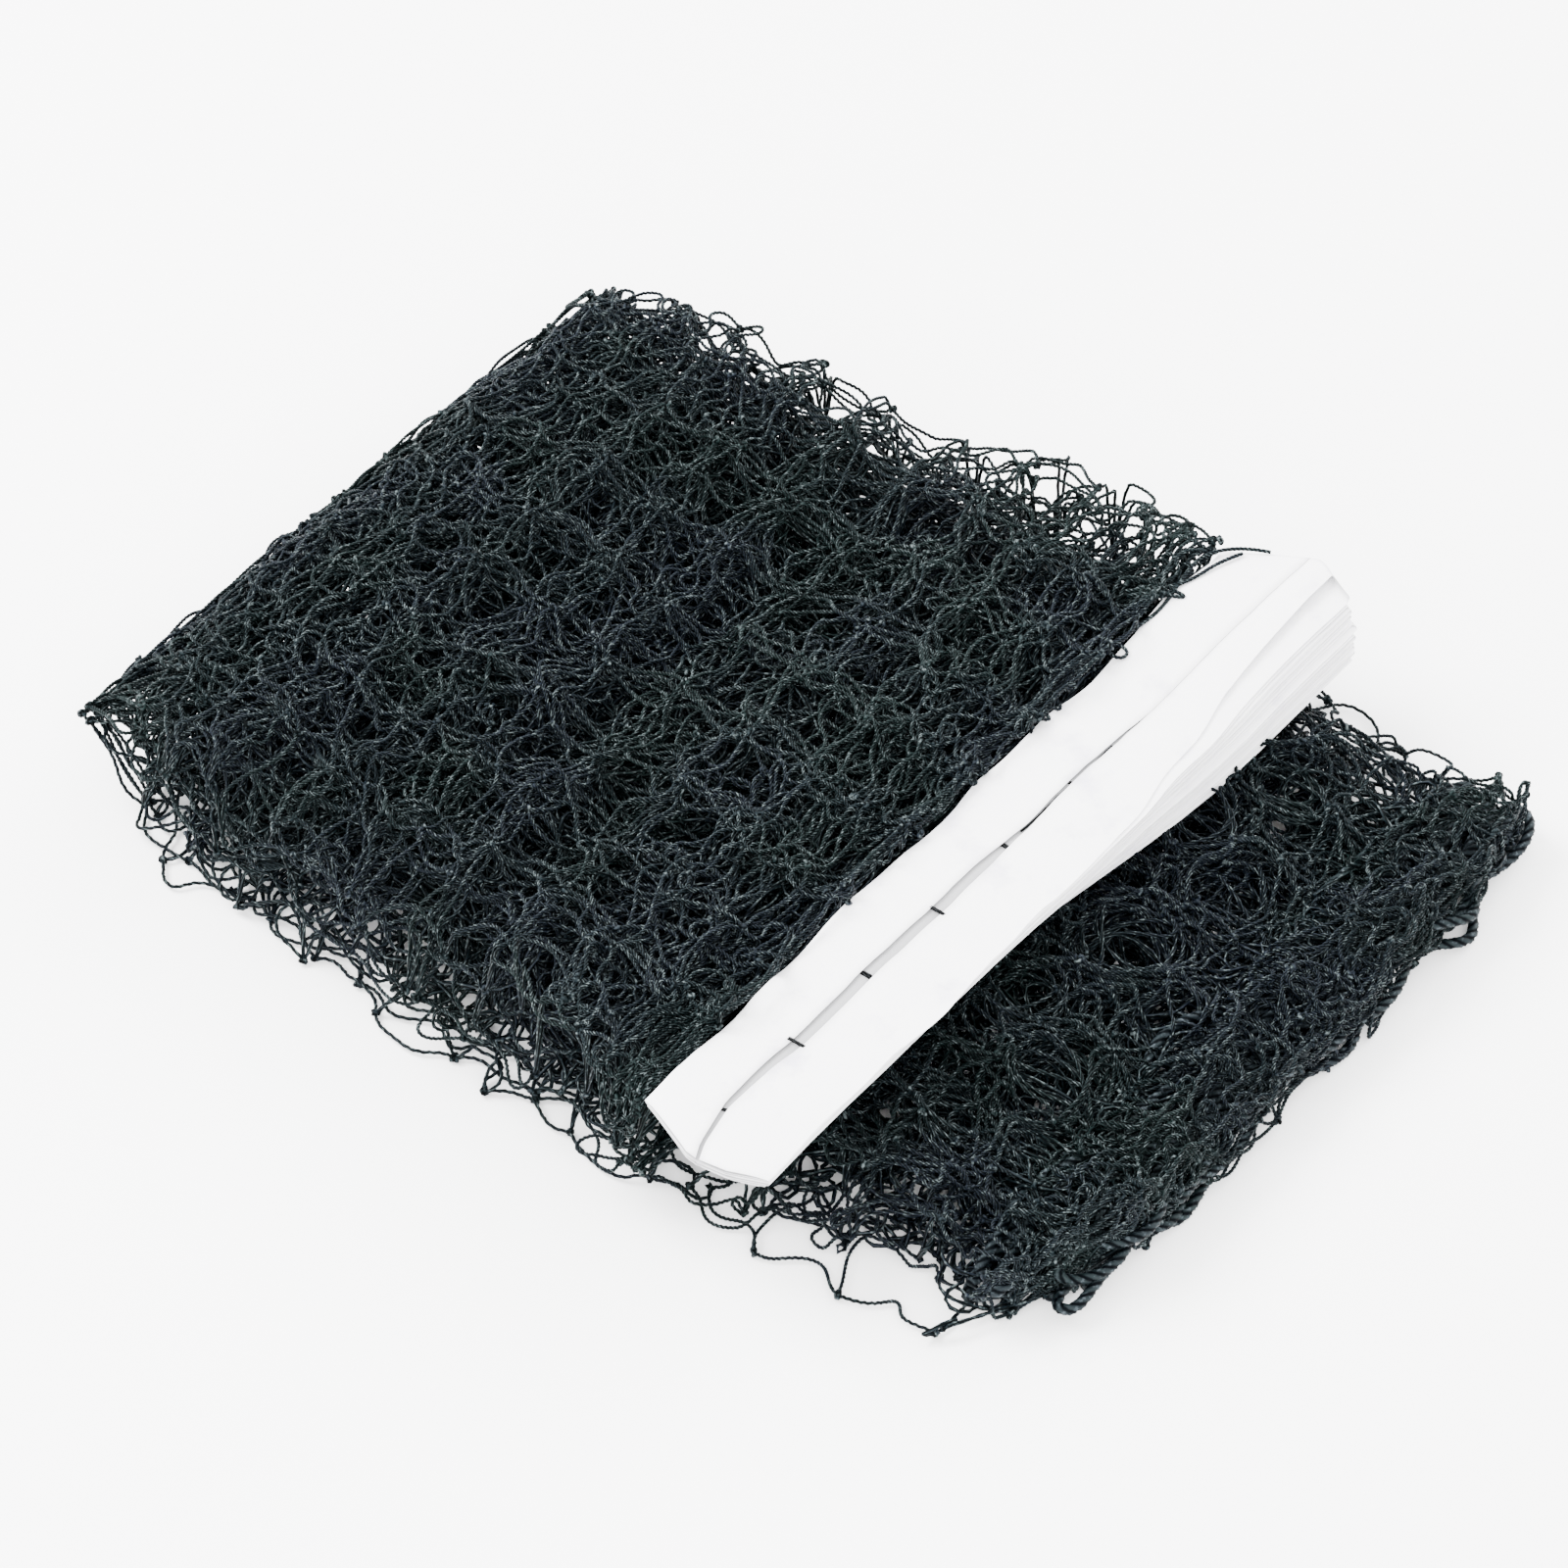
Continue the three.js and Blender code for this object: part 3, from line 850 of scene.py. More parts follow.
def smooth_route(points, spacing):
    """Even samples of a smooth curve near the points."""
    for step in (4 * spacing, spacing):
        along = np.concatenate([[0], np.cumsum(np.linalg.norm(np.diff(points, axis=0), axis=1))])
        places = np.linspace(0, along[-1], max(4, int(along[-1] / step)))
        points = np.stack([np.interp(places, along, points[:, k]) for k in range(3)], axis=-1)
        for _ in range(3):
            inner = (points[:-2] + 2 * points[1:-1] + points[2:]) / 4
            points = np.concatenate([points[:1], inner, points[-1:]])
    return points


# ------------------------------------------------------------------ the rope's route

def rope_route():
    """The rope's middle line: run after run, with a loop at every turn, and each point's run."""
    points, runs = [], []
    for run in range(LAYERS):
        started = len(points)
        y, z = (float(v) for v in rope_place(np.array(run)))
        forward = run % 2 == 0
        xs = np.arange(-ROPE_HALF_RUN, ROPE_HALF_RUN + 1e-6, ROPE_POINT_STEP)
        for x in xs if forward else xs[::-1]:
            points.append((x, y, z))
        if run == LAYERS - 1:
            break
        next_y, next_z = (float(v) for v in rope_place(np.array(run + 1)))
        side = 1 if forward else -1
        for t in np.linspace(0, math.pi, 11)[1:-1]:
            share = (1 - math.cos(t)) / 2
            reach = ROPE_HALF_RUN + ROPE_LOOP * math.sin(t)
            points.append((side * reach, y + (next_y - y) * share, z + (next_z - z) * share))
        runs += [run] * (len(points) - started)
    runs += [LAYERS - 1] * (len(points) - len(runs))
    return np.array(points), np.array(runs)


# the middle, the reach and the half width of the loops that stand out in front of the bundle
FRONT_LOOPS = [
    (-92 * MM, 14 * MM, 11 * MM),
    (30 * MM, 7 * MM, 16 * MM),
    (118 * MM, 15 * MM, 10 * MM),
]


def wander_rope(points):
    """Lets the runs stray and bulge as slack rope does, most at the front and the ends."""
    rng = np.random.default_rng(11)
    order = np.arange(len(points))[:, None] * 1.0
    slack = 5 * MM * wave_noise(order, 17.0, rng) + 2 * MM * wave_noise(order, 7.0, rng)
    lift = 1.5 * MM * wave_noise(order, 11.0, rng)
    strayed = points.copy()
    strayed[:, 1] += slack
    strayed[:, 2] = np.maximum(ROPE_SETTLING * points[:, 2] + lift, ROPE_RADIUS)
    at_front = smooth_step((ROPE_FIRST_Y + ROPE_PITCH_Y - points[:, 1]) / ROPE_PITCH_Y)
    for middle, reach, width in FRONT_LOOPS:
        strayed[:, 1] -= at_front * reach * np.exp(-((points[:, 0] - middle) / width) ** 2)
    ends = smooth_step((np.abs(points[:, 0]) - 130 * MM) / (60 * MM))
    strayed[:, 0] += np.sign(points[:, 0]) * ends * 6 * MM * wave_noise(order, 40.0, rng)
    front = smooth_step((ROPE_BOX[1][1] - points[:, 1]) / (30 * MM))
    at_left = smooth_step((-60 * MM - points[:, 0]) / (130 * MM))
    at_right = smooth_step((points[:, 0] - 60 * MM) / (130 * MM))
    strayed[:, 0] += at_left * (14 + 30 * front) * MM - at_right * 14 * MM
    return strayed


ROUTE, ROUTE_RUNS = rope_route()
ROUTE = wander_rope(ROUTE)
ROPE_RUNS = [smooth_route(ROUTE[ROUTE_RUNS == run], CELL) for run in range(LAYERS)]
ROPE_LEAD = 4                 # how many layers early the rope's run is laid


# ------------------------------------------------------------------ laying the whole net

def stack_layers(order, rows, field, before_layer=None):
    """Lays the knots and legs of these rows layer upon layer, in the order given."""
    placed = np.zeros(COLUMNS, bool)
    y_rows = slice(rows.start, rows.stop - 1)
    for layer in order:
        if before_layer is not None:
            before_layer(layer, field)
        first = layer * LAYER_MESHES
        columns = np.arange(first, first + LAYER_MESHES + 1)
        fresh = columns[~placed[columns]]
        knots = KNOTS[fresh, rows]
        knots[..., 2] = support(field, knots, KNOT_FOOT)
        KNOTS[fresh, rows] = knots
        placed[columns] = True
        height = KNOTS[:, rows, 2]
        x_legs = X_LEGS[first:first + LAYER_MESHES, rows]
        y_legs = Y_LEGS[fresh, y_rows]
        legs = np.concatenate([x_legs.reshape(-1, SAMPLES, 3), y_legs.reshape(-1, SAMPLES, 3)])
        starts = np.concatenate([height[columns[:-1]].ravel(), height[fresh, :-1].ravel()])
        ends = np.concatenate([height[columns[1:]].ravel(), height[fresh, 1:].ravel()])
        legs = settle_legs(field, legs, starts, ends)
        count = x_legs.shape[0] * x_legs.shape[1]
        X_LEGS[first:first + LAYER_MESHES, rows] = legs[:count].reshape(x_legs.shape)
        Y_LEGS[fresh, y_rows] = legs[count:].reshape(y_legs.shape)
        stamp(field, knots, KNOT_FOOT)


def add_rope_run(layer, field):
    """Lays the rope's run of this layer, a few layers early, so that netting covers the last."""
    run = LAYERS - 1 - layer + ROPE_LEAD
    runs = range(ROPE_LEAD + 1) if run == ROPE_LEAD else [run]
    for number in runs:
        if number < LAYERS:
            stamp(field, ROPE_RUNS[number], ROPE_FOOT)


def keep_off_band(rows):
    """Keeps the upper half's strands beside the headband, but for a few loops of the top layers."""
    layer = layer_of(np.arange(COLUMNS))
    for legs in (X_LEGS, Y_LEGS):
        layers = layer[:len(legs)]
        reach = np.where(layers >= LAYERS - 2, 10, 0) * MM
        scatter = RNG.uniform(0, 3, legs.shape[:2]) * MM
        limit = BAND_EDGE_Y + 1.5 * MM - reach[:, None] + scatter
        part = legs[:, rows, :, 1]
        np.maximum(part, limit[:, rows, None], out=part)


def towards_fold(ys):
    """0 away from the fold and 1 close to it."""
    return smooth_step((ys - HINGE_Y + FOLD_ZONE) / FOLD_EASE)


def lay_lower_half():
    ys = grid_places()[1]
    field = np.zeros(GRID_SIZE)
    stack_layers(range(LAYERS - 1, -1, -1), LOWER_ROWS, field, add_rope_run)
    allowed = heap_top("netting_lower_half", 0.0)
    bundle_top = ROPE_BOX[1][2] + 2.5 * MM
    on_rope = smooth_step((ROPE_BOX[1][1] + 4 * MM - ys) / (12 * MM))
    allowed = allowed * (1 - on_rope) + bundle_top * on_rope
    allowed = np.minimum(allowed, INTERFACE_Z - 0.6 * MM - FOLD_GAP * towards_fold(ys))
    groups = (KNOTS[:, LOWER_ROWS], X_LEGS[:, LOWER_ROWS], Y_LEGS[:, LOWER_Y_ROWS])
    return press(groups, field, np.zeros(GRID_SIZE), allowed)


def lay_upper_half(lower_field):
    xs, ys = grid_places()
    droop = np.clip(blur(lower_field, 6), 22 * MM, INTERFACE_Z)
    droop = np.where(ys > HINGE_Y - FOLD_ZONE, INTERFACE_Z, droop)
    base = blur(droop, 6) + FOLD_GAP * towards_fold(ys)
    field = base.copy()
    on_band = (ys < BAND_EDGE_Y) & (xs > BAND_BOX[0][0] + 6 * MM) & (xs < BAND_BOX[1][0] - 8 * MM)
    field[on_band] = BAND_TOP + 0.5 * MM
    keep_off_band(UPPER_ROWS)
    stack_layers(range(LAYERS), UPPER_ROWS, field)
    allowed = heap_top("netting_upper_half", INTERFACE_Z)
    beside_band = smooth_step((ys - BAND_EDGE_Y - 2 * MM) / (34 * MM))
    edge_height = np.minimum(BAND_TOP + 1.5 * MM, allowed)
    allowed = edge_height * (1 - beside_band) + allowed * beside_band
    allowed = np.where(on_band, field, allowed)
    groups = (KNOTS[:, UPPER_ROWS], X_LEGS[:, UPPER_ROWS], Y_LEGS[:, UPPER_Y_ROWS])
    press(groups, np.where(on_band, allowed, field), np.where(on_band, 0, base), allowed)


def lay_fold():
    """The legs that run round the fold edge, bulging outwards from the hinge's line."""
    X_LEGS[:, FOLD_ROW] = lay_legs(
        KNOTS[:-1, FOLD_ROW], KNOTS[1:, FOLD_ROW], X_WEIGHTS[:, FOLD_ROW],
        outward(KNOTS[:-1, FOLD_ROW]), 0.5 * MM, tautness=0.94,
    )
    for row in (FOLD_ROW - 1, FOLD_ROW):
        starts, ends = KNOTS[:, row], KNOTS[:, row + 1]
        Y_LEGS[:, row] = lay_legs(
            starts, ends, Y_WEIGHTS[:, row], outward((starts + ends) / 2), 1.5 * MM, tautness=0.7
        )


def squeeze_fold():
    """Draws the knots on the fold together until they lie within the fold's own length."""
    middle = (ROLL_BOX[0][0] + ROLL_BOX[1][0]) / 2
    half = (ROLL_BOX[1][0] - ROLL_BOX[0][0]) / 2 + 3 * MM
    from_middle = KNOTS[:, FOLD_ROW, 0] - middle
    share = np.minimum(1, half / np.abs(from_middle).max())
    KNOTS[:, FOLD_ROW, 0] = middle + from_middle * share


def outward(points):
    """Directions away from a line a little inside the fold."""
    away = points - np.array([0, HINGE_Y - 22 * MM, HINGE_Z])
    away[..., 0] = 0
    return unit(away)


def lay_front():
    """The last legs, over the rope's bundle and down its front, or inside it."""
    layers = layer_of(np.arange(COLUMNS))
    hanging = (layers < FRONT_LAYERS)[:, None]
    forward = np.where(hanging, np.array([0, -0.75, 0.66]), np.array([0, 0, 1.0]))
    last, before = KNOTS[:, LAST_ROW], KNOTS[:, LAST_ROW - 1]
    X_LEGS[:, LAST_ROW] = lay_legs(
        last[:-1], last[1:], X_WEIGHTS[:, LAST_ROW], forward[:-1], 1 * MM
    )
    Y_LEGS[:, LAST_ROW - 1] = lay_legs(before, last, Y_WEIGHTS[:, -1], forward, 5 * MM)


def hold_front(legs):
    """Keeps loops from reaching far out in front of the rope's bundle."""
    xs = np.array([-195, -160, -120, -60, 130, 200]) * MM
    ys = np.array([-205, -226, -244, -254, -254, -234]) * MM
    limit = np.interp(legs[..., 0], xs, ys)
    beyond = np.maximum(limit - legs[..., 1], 0)
    legs[..., 1] += beyond - MOST_BEYOND * np.tanh(beyond / MOST_BEYOND)


KNOTS = np.zeros((COLUMNS, LAST_ROW + 1, 3))
KNOTS[..., :2] = knot_places()
KNOTS[:, FOLD_ROW, 1], KNOTS[:, FOLD_ROW, 2] = fold_knots()
FLAT_KNOTS = KNOTS * (1, 1, 0)
CLUMP_SHIFT = layered_noise((2,), 0.85) * CLUMP_DRIFT
X_WEIGHTS, Y_WEIGHTS = leg_weights()
X_LEGS = lay_legs(FLAT_KNOTS[:-1], FLAT_KNOTS[1:], X_WEIGHTS, (0, 0, 1.0))
Y_LEGS = lay_legs(FLAT_KNOTS[:, :-1], FLAT_KNOTS[:, 1:], Y_WEIGHTS, (0, 0, 1.0))
for leg_set in (KNOTS, X_LEGS, Y_LEGS):
    clump(leg_set)
    draw_in(leg_set)
lay_upper_half(lay_lower_half())
KNOTS[:, LAST_ROW, 1], KNOTS[:, LAST_ROW, 2] = front_knots()
KNOTS[:, FOLD_ROW + 1, 2] = np.minimum(KNOTS[:, FOLD_ROW + 1, 2], HINGE_Z - FOLD_CLEARANCE)
KNOTS[:, FOLD_ROW - 1, 2] = np.maximum(KNOTS[:, FOLD_ROW - 1, 2], HINGE_Z + FOLD_CLEARANCE)
squeeze_fold()
lay_fold()
lay_front()
for leg_set in (KNOTS, X_LEGS, Y_LEGS):
    hold_front(leg_set)
    np.clip(leg_set[..., 2], REST_HEIGHT, HIGHEST, out=leg_set[..., 2])


# ------------------------------------------------------------------ netting pieces

# rings and sides of a leg's tube, its turn from ring to ring, the depth of its grooves, and
# the rings and sides of a knot
LEVELS = {
    "fine": (49, 6, 1.0, 0.32, 22, 5),
    "middle": (23, 6, 1.0, 0.22, 16, 4),
    "coarse": (12, 4, 0.8, 0.0, 10, 3),
}
MOST_TRIANGLES = 190_000      # in one piece
TOP_DEPTH = 2.0 * MM          # strands are fine where this share of them lies so near the top,
TOP_SHARE = 0.22
SIDE_DEPTH = 9.0 * MM         # and middling where this share does, or so near the outline
SIDE_SHARE = 0.4
SIDE_MARGIN = 22 * MM
KNOT_SIZES = (0.50, 0.66)     # millimetres, a third of the way from a knot's middle to its bights
KNOT_TWINE = 0.92             # the twine is pulled a little thinner in the knots


def knot_curves(places, rings, rng):
    """A tight trefoil of twine at each place, turned at random."""
    t = np.linspace(0, 2 * math.pi, rings, endpoint=False)
    trefoil = np.stack([
        np.sin(t) + 2 * np.sin(2 * t),
        np.cos(t) - 2 * np.cos(2 * t),
        -1.2 * np.sin(3 * t),
    ], axis=-1)
    axes = rng.normal(size=(len(places), 3, 3))
    first = unit(axes[:, 0])
    second = unit(np.cross(first, axes[:, 1]))
    third = np.cross(first, second)
    turned = (
        trefoil[None, :, :1] * first[:, None]
        + trefoil[None, :, 1:2] * second[:, None]
        + trefoil[None, :, 2:] * third[:, None]
    )
    size = rng.uniform(*KNOT_SIZES, (len(places), 1, 1)) * MM
    return places[:, None] + turned * size


def knot_tubes(places, rings, sides, rng):
    """Closed tubes along the knots' curves."""
    points = knot_curves(places, rings, rng)
    tangent = unit(np.roll(points, -1, axis=1) - np.roll(points, 1, axis=1))
    away = points - places[:, None]
    side = unit(away - (away * tangent).sum(-1, keepdims=True) * tangent)
    up = np.cross(tangent, side)
    angle = np.arange(sides) * (2 * math.pi / sides)
    offset = np.cos(angle)[:, None] * side[:, :, None] + np.sin(angle)[:, None] * up[:, :, None]
    vertices = points[:, :, None] + offset * TWINE_RADIUS * KNOT_TWINE
    lines = len(places)
    corner = np.arange(lines * rings * sides).reshape(lines, rings, sides)
    quads = faces_between(corner, np.roll(corner, -1, axis=1))
    # random painted highlight and shade over each knot
    ridges = rng.uniform(0, 1, lines * rings * sides)
    return vertices.reshape(-1, 3), quads, np.zeros((0, sides), int), ridges


def leg_tubes(legs, level):
    rings, sides, turn, depth = LEVELS[level][:4]
    points = np.einsum("rs,lsk->lrk", resample_matrix(SAMPLES, rings), legs)
    return twisted_tubes(points, TWINE_RADIUS, sides, turn, depth, RNG)


def netting_pieces(name, body, node, level, legs, knots, blend=False):
    """Splits legs and knots into pieces below the triangle limit, and builds them."""
    rings, sides, _, _, knot_rings, knot_sides = LEVELS[level]
    per_leg = 2 * (rings - 1) * sides + 2 * (sides - 2)
    per_knot = 2 * knot_rings * knot_sides
    total = len(legs) * per_leg + len(knots) * per_knot
    count = max(1, math.ceil(total / MOST_TRIANGLES))
    made = []
    for number in range(count):
        some_legs = legs[len(legs) * number // count:len(legs) * (number + 1) // count]
        some_knots = knots[len(knots) * number // count:len(knots) * (number + 1) // count]
        parts = []
        if len(some_legs):
            parts.append(leg_tubes(some_legs, level))
        if len(some_knots):
            parts.append(knot_tubes(some_knots, knot_rings, knot_sides, RNG))
        if not parts:
            continue
        piece = mesh_object(f"{name}_{number + 1}", parts, TWINE)
        if blend:
            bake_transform(piece)
        else:
            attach(piece, body)
        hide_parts(node)
        made.append(piece)
    return made


def seen_share(legs, field, depth):
    """How much of each leg lies within depth of the field's top."""
    i, j = cells(legs)
    return (legs[..., 2] + TWINE_RADIUS > field[i, j] - depth).mean(-1)


def sort_by_level(points, field, fine_below_y):
    """The level of detail of each leg or knot (given as a line of points), seen from above. What
    lies beyond fine_below_y is covered by the other half and never fine."""
    near_top = seen_share(points, field, TOP_DEPTH)
    under_top = seen_share(points, field, SIDE_DEPTH)
    middle = points[:, points.shape[1] // 2]
    margin = np.minimum(middle[:, 0] - LEFT_X(middle[:, 1]), RIGHT_X(middle[:, 1]) - middle[:, 0])
    level = np.where((under_top > SIDE_SHARE) | (margin < SIDE_MARGIN), 1, 0)
    return np.where((near_top > TOP_SHARE) & (middle[:, 1] < fine_below_y), 2, level)


def build_netting():
    halves = (
        ("netting_upper", "upper_half", UPPER_ROWS, UPPER_Y_ROWS, 1.0),
        ("netting_lower", "lower_half", LOWER_ROWS, LOWER_Y_ROWS, BAND_EDGE_Y),
    )
    pieces = {}
    for name, body, rows, y_rows, fine_below_y in halves:
        legs = np.concatenate([
            X_LEGS[:, rows].reshape(-1, SAMPLES, 3), Y_LEGS[:, y_rows].reshape(-1, SAMPLES, 3)
        ])
        knots = KNOTS[:, rows].reshape(-1, 1, 3)
        top = np.full(GRID_SIZE, -1.0)
        stamp(top, legs.reshape(-1, 3), STRAND_FOOT)
        leg_levels = sort_by_level(legs, top, fine_below_y)
        knot_levels = sort_by_level(knots, top, fine_below_y)
        for number, level in enumerate(("coarse", "middle", "fine")):
            label = ("inside", "side", "top")[number]
            pieces[name, level] = netting_pieces(
                f"{name}_{label}", body, f"{name}_half", level,
                legs[leg_levels == number], knots[knot_levels == number, 0],
            )
    build_front()
    build_fold()
    return pieces


def build_front():
    layers = layer_of(np.arange(COLUMNS))
    for level, chosen in (("fine", layers < FRONT_LAYERS), ("coarse", layers >= FRONT_LAYERS)):
        legs = np.concatenate([
            X_LEGS[chosen[:-1], LAST_ROW], Y_LEGS[chosen, LAST_ROW - 1],
        ])
        netting_pieces(
            f"netting_front_{level}", "lower_half", "netting_lower_half", level,
            legs, KNOTS[chosen, LAST_ROW],
        )


def build_fold():
    layers = layer_of(np.arange(COLUMNS))
    outer = layers >= LAYERS // 2
    for level, chosen in (("fine", outer), ("middle", ~outer)):
        legs = np.concatenate([
            X_LEGS[chosen[:-1], FOLD_ROW],
            Y_LEGS[chosen, FOLD_ROW - 1],
            Y_LEGS[chosen, FOLD_ROW],
        ])
        netting_pieces(
            f"netting_fold_{level}", None, "netting_fold_edge", level,
            legs, KNOTS[chosen, FOLD_ROW], blend=True,
        )


# ------------------------------------------------------------------ headband

CLOTH = 0.24 * MM             # thickness of the cloth
PLY_GAP = 0.34 * MM           # between the middles of the base ply and the flaps over it
BAND_PITCH = 1.0 * MM         # from layer to layer of the stack
BAND_LEFT_X = -213 * MM
BAND_RIGHT_X = 180 * MM
TOP_LAYER = LAYERS - 1
BAND_BOTTOM_Z = BAND_BOX[0][2] + BAND_PITCH / 2
SEEN_STEPS = {TOP_LAYER: 3.0, TOP_LAYER - 1: 8.0, TOP_LAYER - 2: 12.0}      # millimetres
HIDDEN_STEP = 24.0            # between sections of the layers below
SET_BACK = 0.8 * MM           # of each lower turn at the left end behind the one above it
END_LIFT = 3.4 * MM           # of the top layer over the one below it, at its right end
FOLD_SHADE = 0.60             # painted shade: how much darker the cloth is coloured in the turns of the zigzag
BAND_RNG = np.random.default_rng(21)
END_JITTER = BAND_RNG.uniform(-2.0, 1.5, (LAYERS, 2)) * MM
EDGE_JITTER = BAND_RNG.normal(size=(LAYERS, 2)) * 0.7 * MM
LAYER_SHADES = BAND_RNG.uniform(0.03, 0.36, LAYERS)      # painted shade on each layer below the top, seen as fine lines at the stack's edges, each layer differently
LAYER_SHADES[TOP_LAYER] = 0


def slit_middle(x):
    """The slit between the flaps: straight, then curving outwards near both ends."""
    places = np.array([-240, -222, -205, -188, -150, -20, 2, 54, 150, 187, 200]) * MM
    middles = (-134, -127, -119.5, -115.5, -116.5, -117, -118, -118.5, -119.5, -121, -124)
    return np.interp(x, places, np.array(middles) * MM)


def slit_half_width(x):
    places = np.array([-222, -190, -150, -30, -12, 2, 60, 80]) * MM
    widths = np.array([0.6, 1.2, 2.6, 2.4, 1.3, 0.8, 0.8, 0.12]) * MM
    return np.interp(x, places, widths)


def far_edge(x, layer):
    """The edge of a layer on the rope's side. Towards the right end the top layers draw in, one
    more than the next. Towards the left end the lower ones lie further back."""
    depth = TOP_LAYER - layer
    towards_right = smooth_step((x + 30 * MM) / (200 * MM)) ** 1.2
    towards_left = smooth_step((110 * MM - x) / (190 * MM))
    drawn_in = 17 if depth == 0 else max(0.0, 6 - 0.45 * depth)
    fanned = drawn_in * MM * towards_right
    set_back = min(0.68 * depth, 20) * MM * towards_left
    return BAND_BOX[0][1] + 2.5 * MM + fanned + set_back


def band_section(x, layer, strayed):
    """Middle line (point, 2) of a layer's section: flap, fold, base, fold, flap. The second
    value is the height over the base ply. Its two folds may have strayed from their places."""
    near = BAND_EDGE_Y - 0.3 * MM + strayed[0]
    far = far_edge(x, layer) + strayed[1]
    middle = slit_middle(x)
    half = slit_half_width(x)
    bend = PLY_GAP / 2
    puff = 1.0 * MM if layer == TOP_LAYER else 0.0
    share = np.linspace(0, 1, 8)
    hump = np.sin(math.pi * share) * puff * 0.7
    edge = puff * np.ones(8)
    arc = np.linspace(0, math.pi, 7)[1:-1]
    first_flap = np.stack([
        (middle + half) + (near - bend - middle - half) * share, PLY_GAP + hump + edge * (1 - share)
    ], axis=-1)
    near_fold = np.stack([near - bend + bend * np.sin(arc), bend + bend * np.cos(arc)], axis=-1)
    base = np.stack([
        near - bend + (far - near + 2 * bend) * np.linspace(0, 1, 12), np.zeros(12)
    ], axis=-1)
    far_fold = np.stack([far + bend - bend * np.sin(arc), bend - bend * np.cos(arc)], axis=-1)
    second_flap = np.stack([
        (far + bend) + (middle - half - far - bend) * share, PLY_GAP + hump + edge * share
    ], axis=-1)
    return np.concatenate([first_flap, near_fold, base, far_fold, second_flap])


def thicken(line):
    """A closed outline half the cloth's thickness to both sides of an open line (point, 2)."""
    tangent = unit(np.gradient(line, axis=0))
    normal = np.stack([-tangent[:, 1], tangent[:, 0]], axis=-1) * CLOTH / 2
    return np.concatenate([line + normal, (line - normal)[::-1]])


def end_shift(x, y):
    """How far the stack's rounded ends reach out beyond a straight cut, by the place across it."""
    across = np.array([-150, -135, -124, -119, -104, -89]) * MM
    right = np.array([6, 14, 17, 15, 7, -1]) * MM
    left = np.array([-1, -8, -10, -11, -5, 1]) * MM
    to_right = smooth_step((x - BAND_RIGHT_X + 70 * MM) / (70 * MM))
    to_left = smooth_step((BAND_LEFT_X + 60 * MM - x) / (60 * MM))
    return np.interp(y, across, right) * to_right + np.interp(y, across, left) * to_left


def end_lift(x, layer):
    """How far the top layer stands off the one below it at the right end, round a slack fold."""
    length = 110 * MM
    return END_LIFT * smooth_step((x - BAND_RIGHT_X + length) / length) * (layer == TOP_LAYER)


def band_stations():
    """Places (x, z, turn of the section, layer) along the zigzag, from the bottom layer up."""
    stations = []
    for layer in range(LAYERS):
        z = BAND_BOTTOM_Z + layer * BAND_PITCH
        forward = layer % 2 == 0
        step = SEEN_STEPS.get(layer, HIDDEN_STEP) * MM
        count = int((BAND_RIGHT_X - BAND_LEFT_X) / step) + 1
        turn_left = (layer + 1) // 2
        turn_right = layer // 2
        set_back = SET_BACK * max(0, TOP_LAYER - 2 * turn_left)
        left = BAND_LEFT_X + END_JITTER[turn_left, 0] + set_back
        right = BAND_RIGHT_X + END_JITTER[turn_right, 1]
        xs = np.linspace(left, right, count)
        for x in xs if forward else xs[::-1]:
            stations.append((x, z + end_lift(x, layer), 0.0 if forward else math.pi, layer))
        if layer == TOP_LAYER:
            break
        end = right if forward else left
        height = BAND_PITCH + end_lift(end, layer + 1)
        for turn in np.linspace(0, math.pi, 7 if height < 2 * MM else 15)[1:-1]:
            outward_x = math.sin(turn) * height / 2 * (1 if forward else -1)
            z_turn = z + height / 2 * (1 - math.cos(turn))
            angle = turn if forward else math.pi - turn
            side = turn if forward else math.pi + turn
            stations.append((end + outward_x, z_turn, side, layer + turn / math.pi))
    return stations


def build_headband():
    rings, shades = [], []
    for x, z, turn, place in band_stations():
        layer = min(int(round(place)), TOP_LAYER)
        turning = math.sin(math.pi * (place - int(place)))
        # painted shade: the layer's own shade, and the fold shade in the turns
        shades.append(LAYER_SHADES[layer] * (1 - turning) + FOLD_SHADE * turning)
        share = place - int(place)
        low, high = EDGE_JITTER[int(place)], EDGE_JITTER[min(int(place) + 1, TOP_LAYER)]
        outline_yz = thicken(band_section(x, layer, low * (1 - share) + high * share))
        height = outline_yz[:, 1] - PLY_GAP / 2
        # the section's up direction turns with the strip, so flaps face down in even layers
        lift_x, lift_z = math.sin(turn) * height, -math.cos(turn) * height
        ring = np.stack([x + lift_x, outline_yz[:, 0], z + lift_z], axis=-1)
        rings.append(ring)
    points = crease_band(np.stack(rings))
    count, sides = points.shape[:2]
    corner = np.arange(count * sides).reshape(count, sides)
    quads = faces_between(corner[:-1], corner[1:])
    half = sides // 2
    ends = []
    for ring in (corner[0], corner[-1]):
        for i in range(half - 1):
            quad = [ring[i], ring[sides - 1 - i], ring[sides - 2 - i], ring[i + 1]]
            ends.append(quad if ring is corner[0] else quad[::-1])
    quads = np.concatenate([quads, np.array(ends)])
    # the inner face of the cloth takes the grey lining, which also paints the shade in the slit
    inner = np.tile(np.arange(sides) >= half, (count, 1)).astype(float)
    shade = np.maximum(inner, np.array(shades)[:, None]).ravel()
    mesh_parts = [(points.reshape(-1, 3), quads, np.zeros((0, 3), int), shade)]
    band = mesh_object("headband_cloth", mesh_parts, CLOTH_MATERIAL)
    register(band, "upper_half", "headband")
    return band


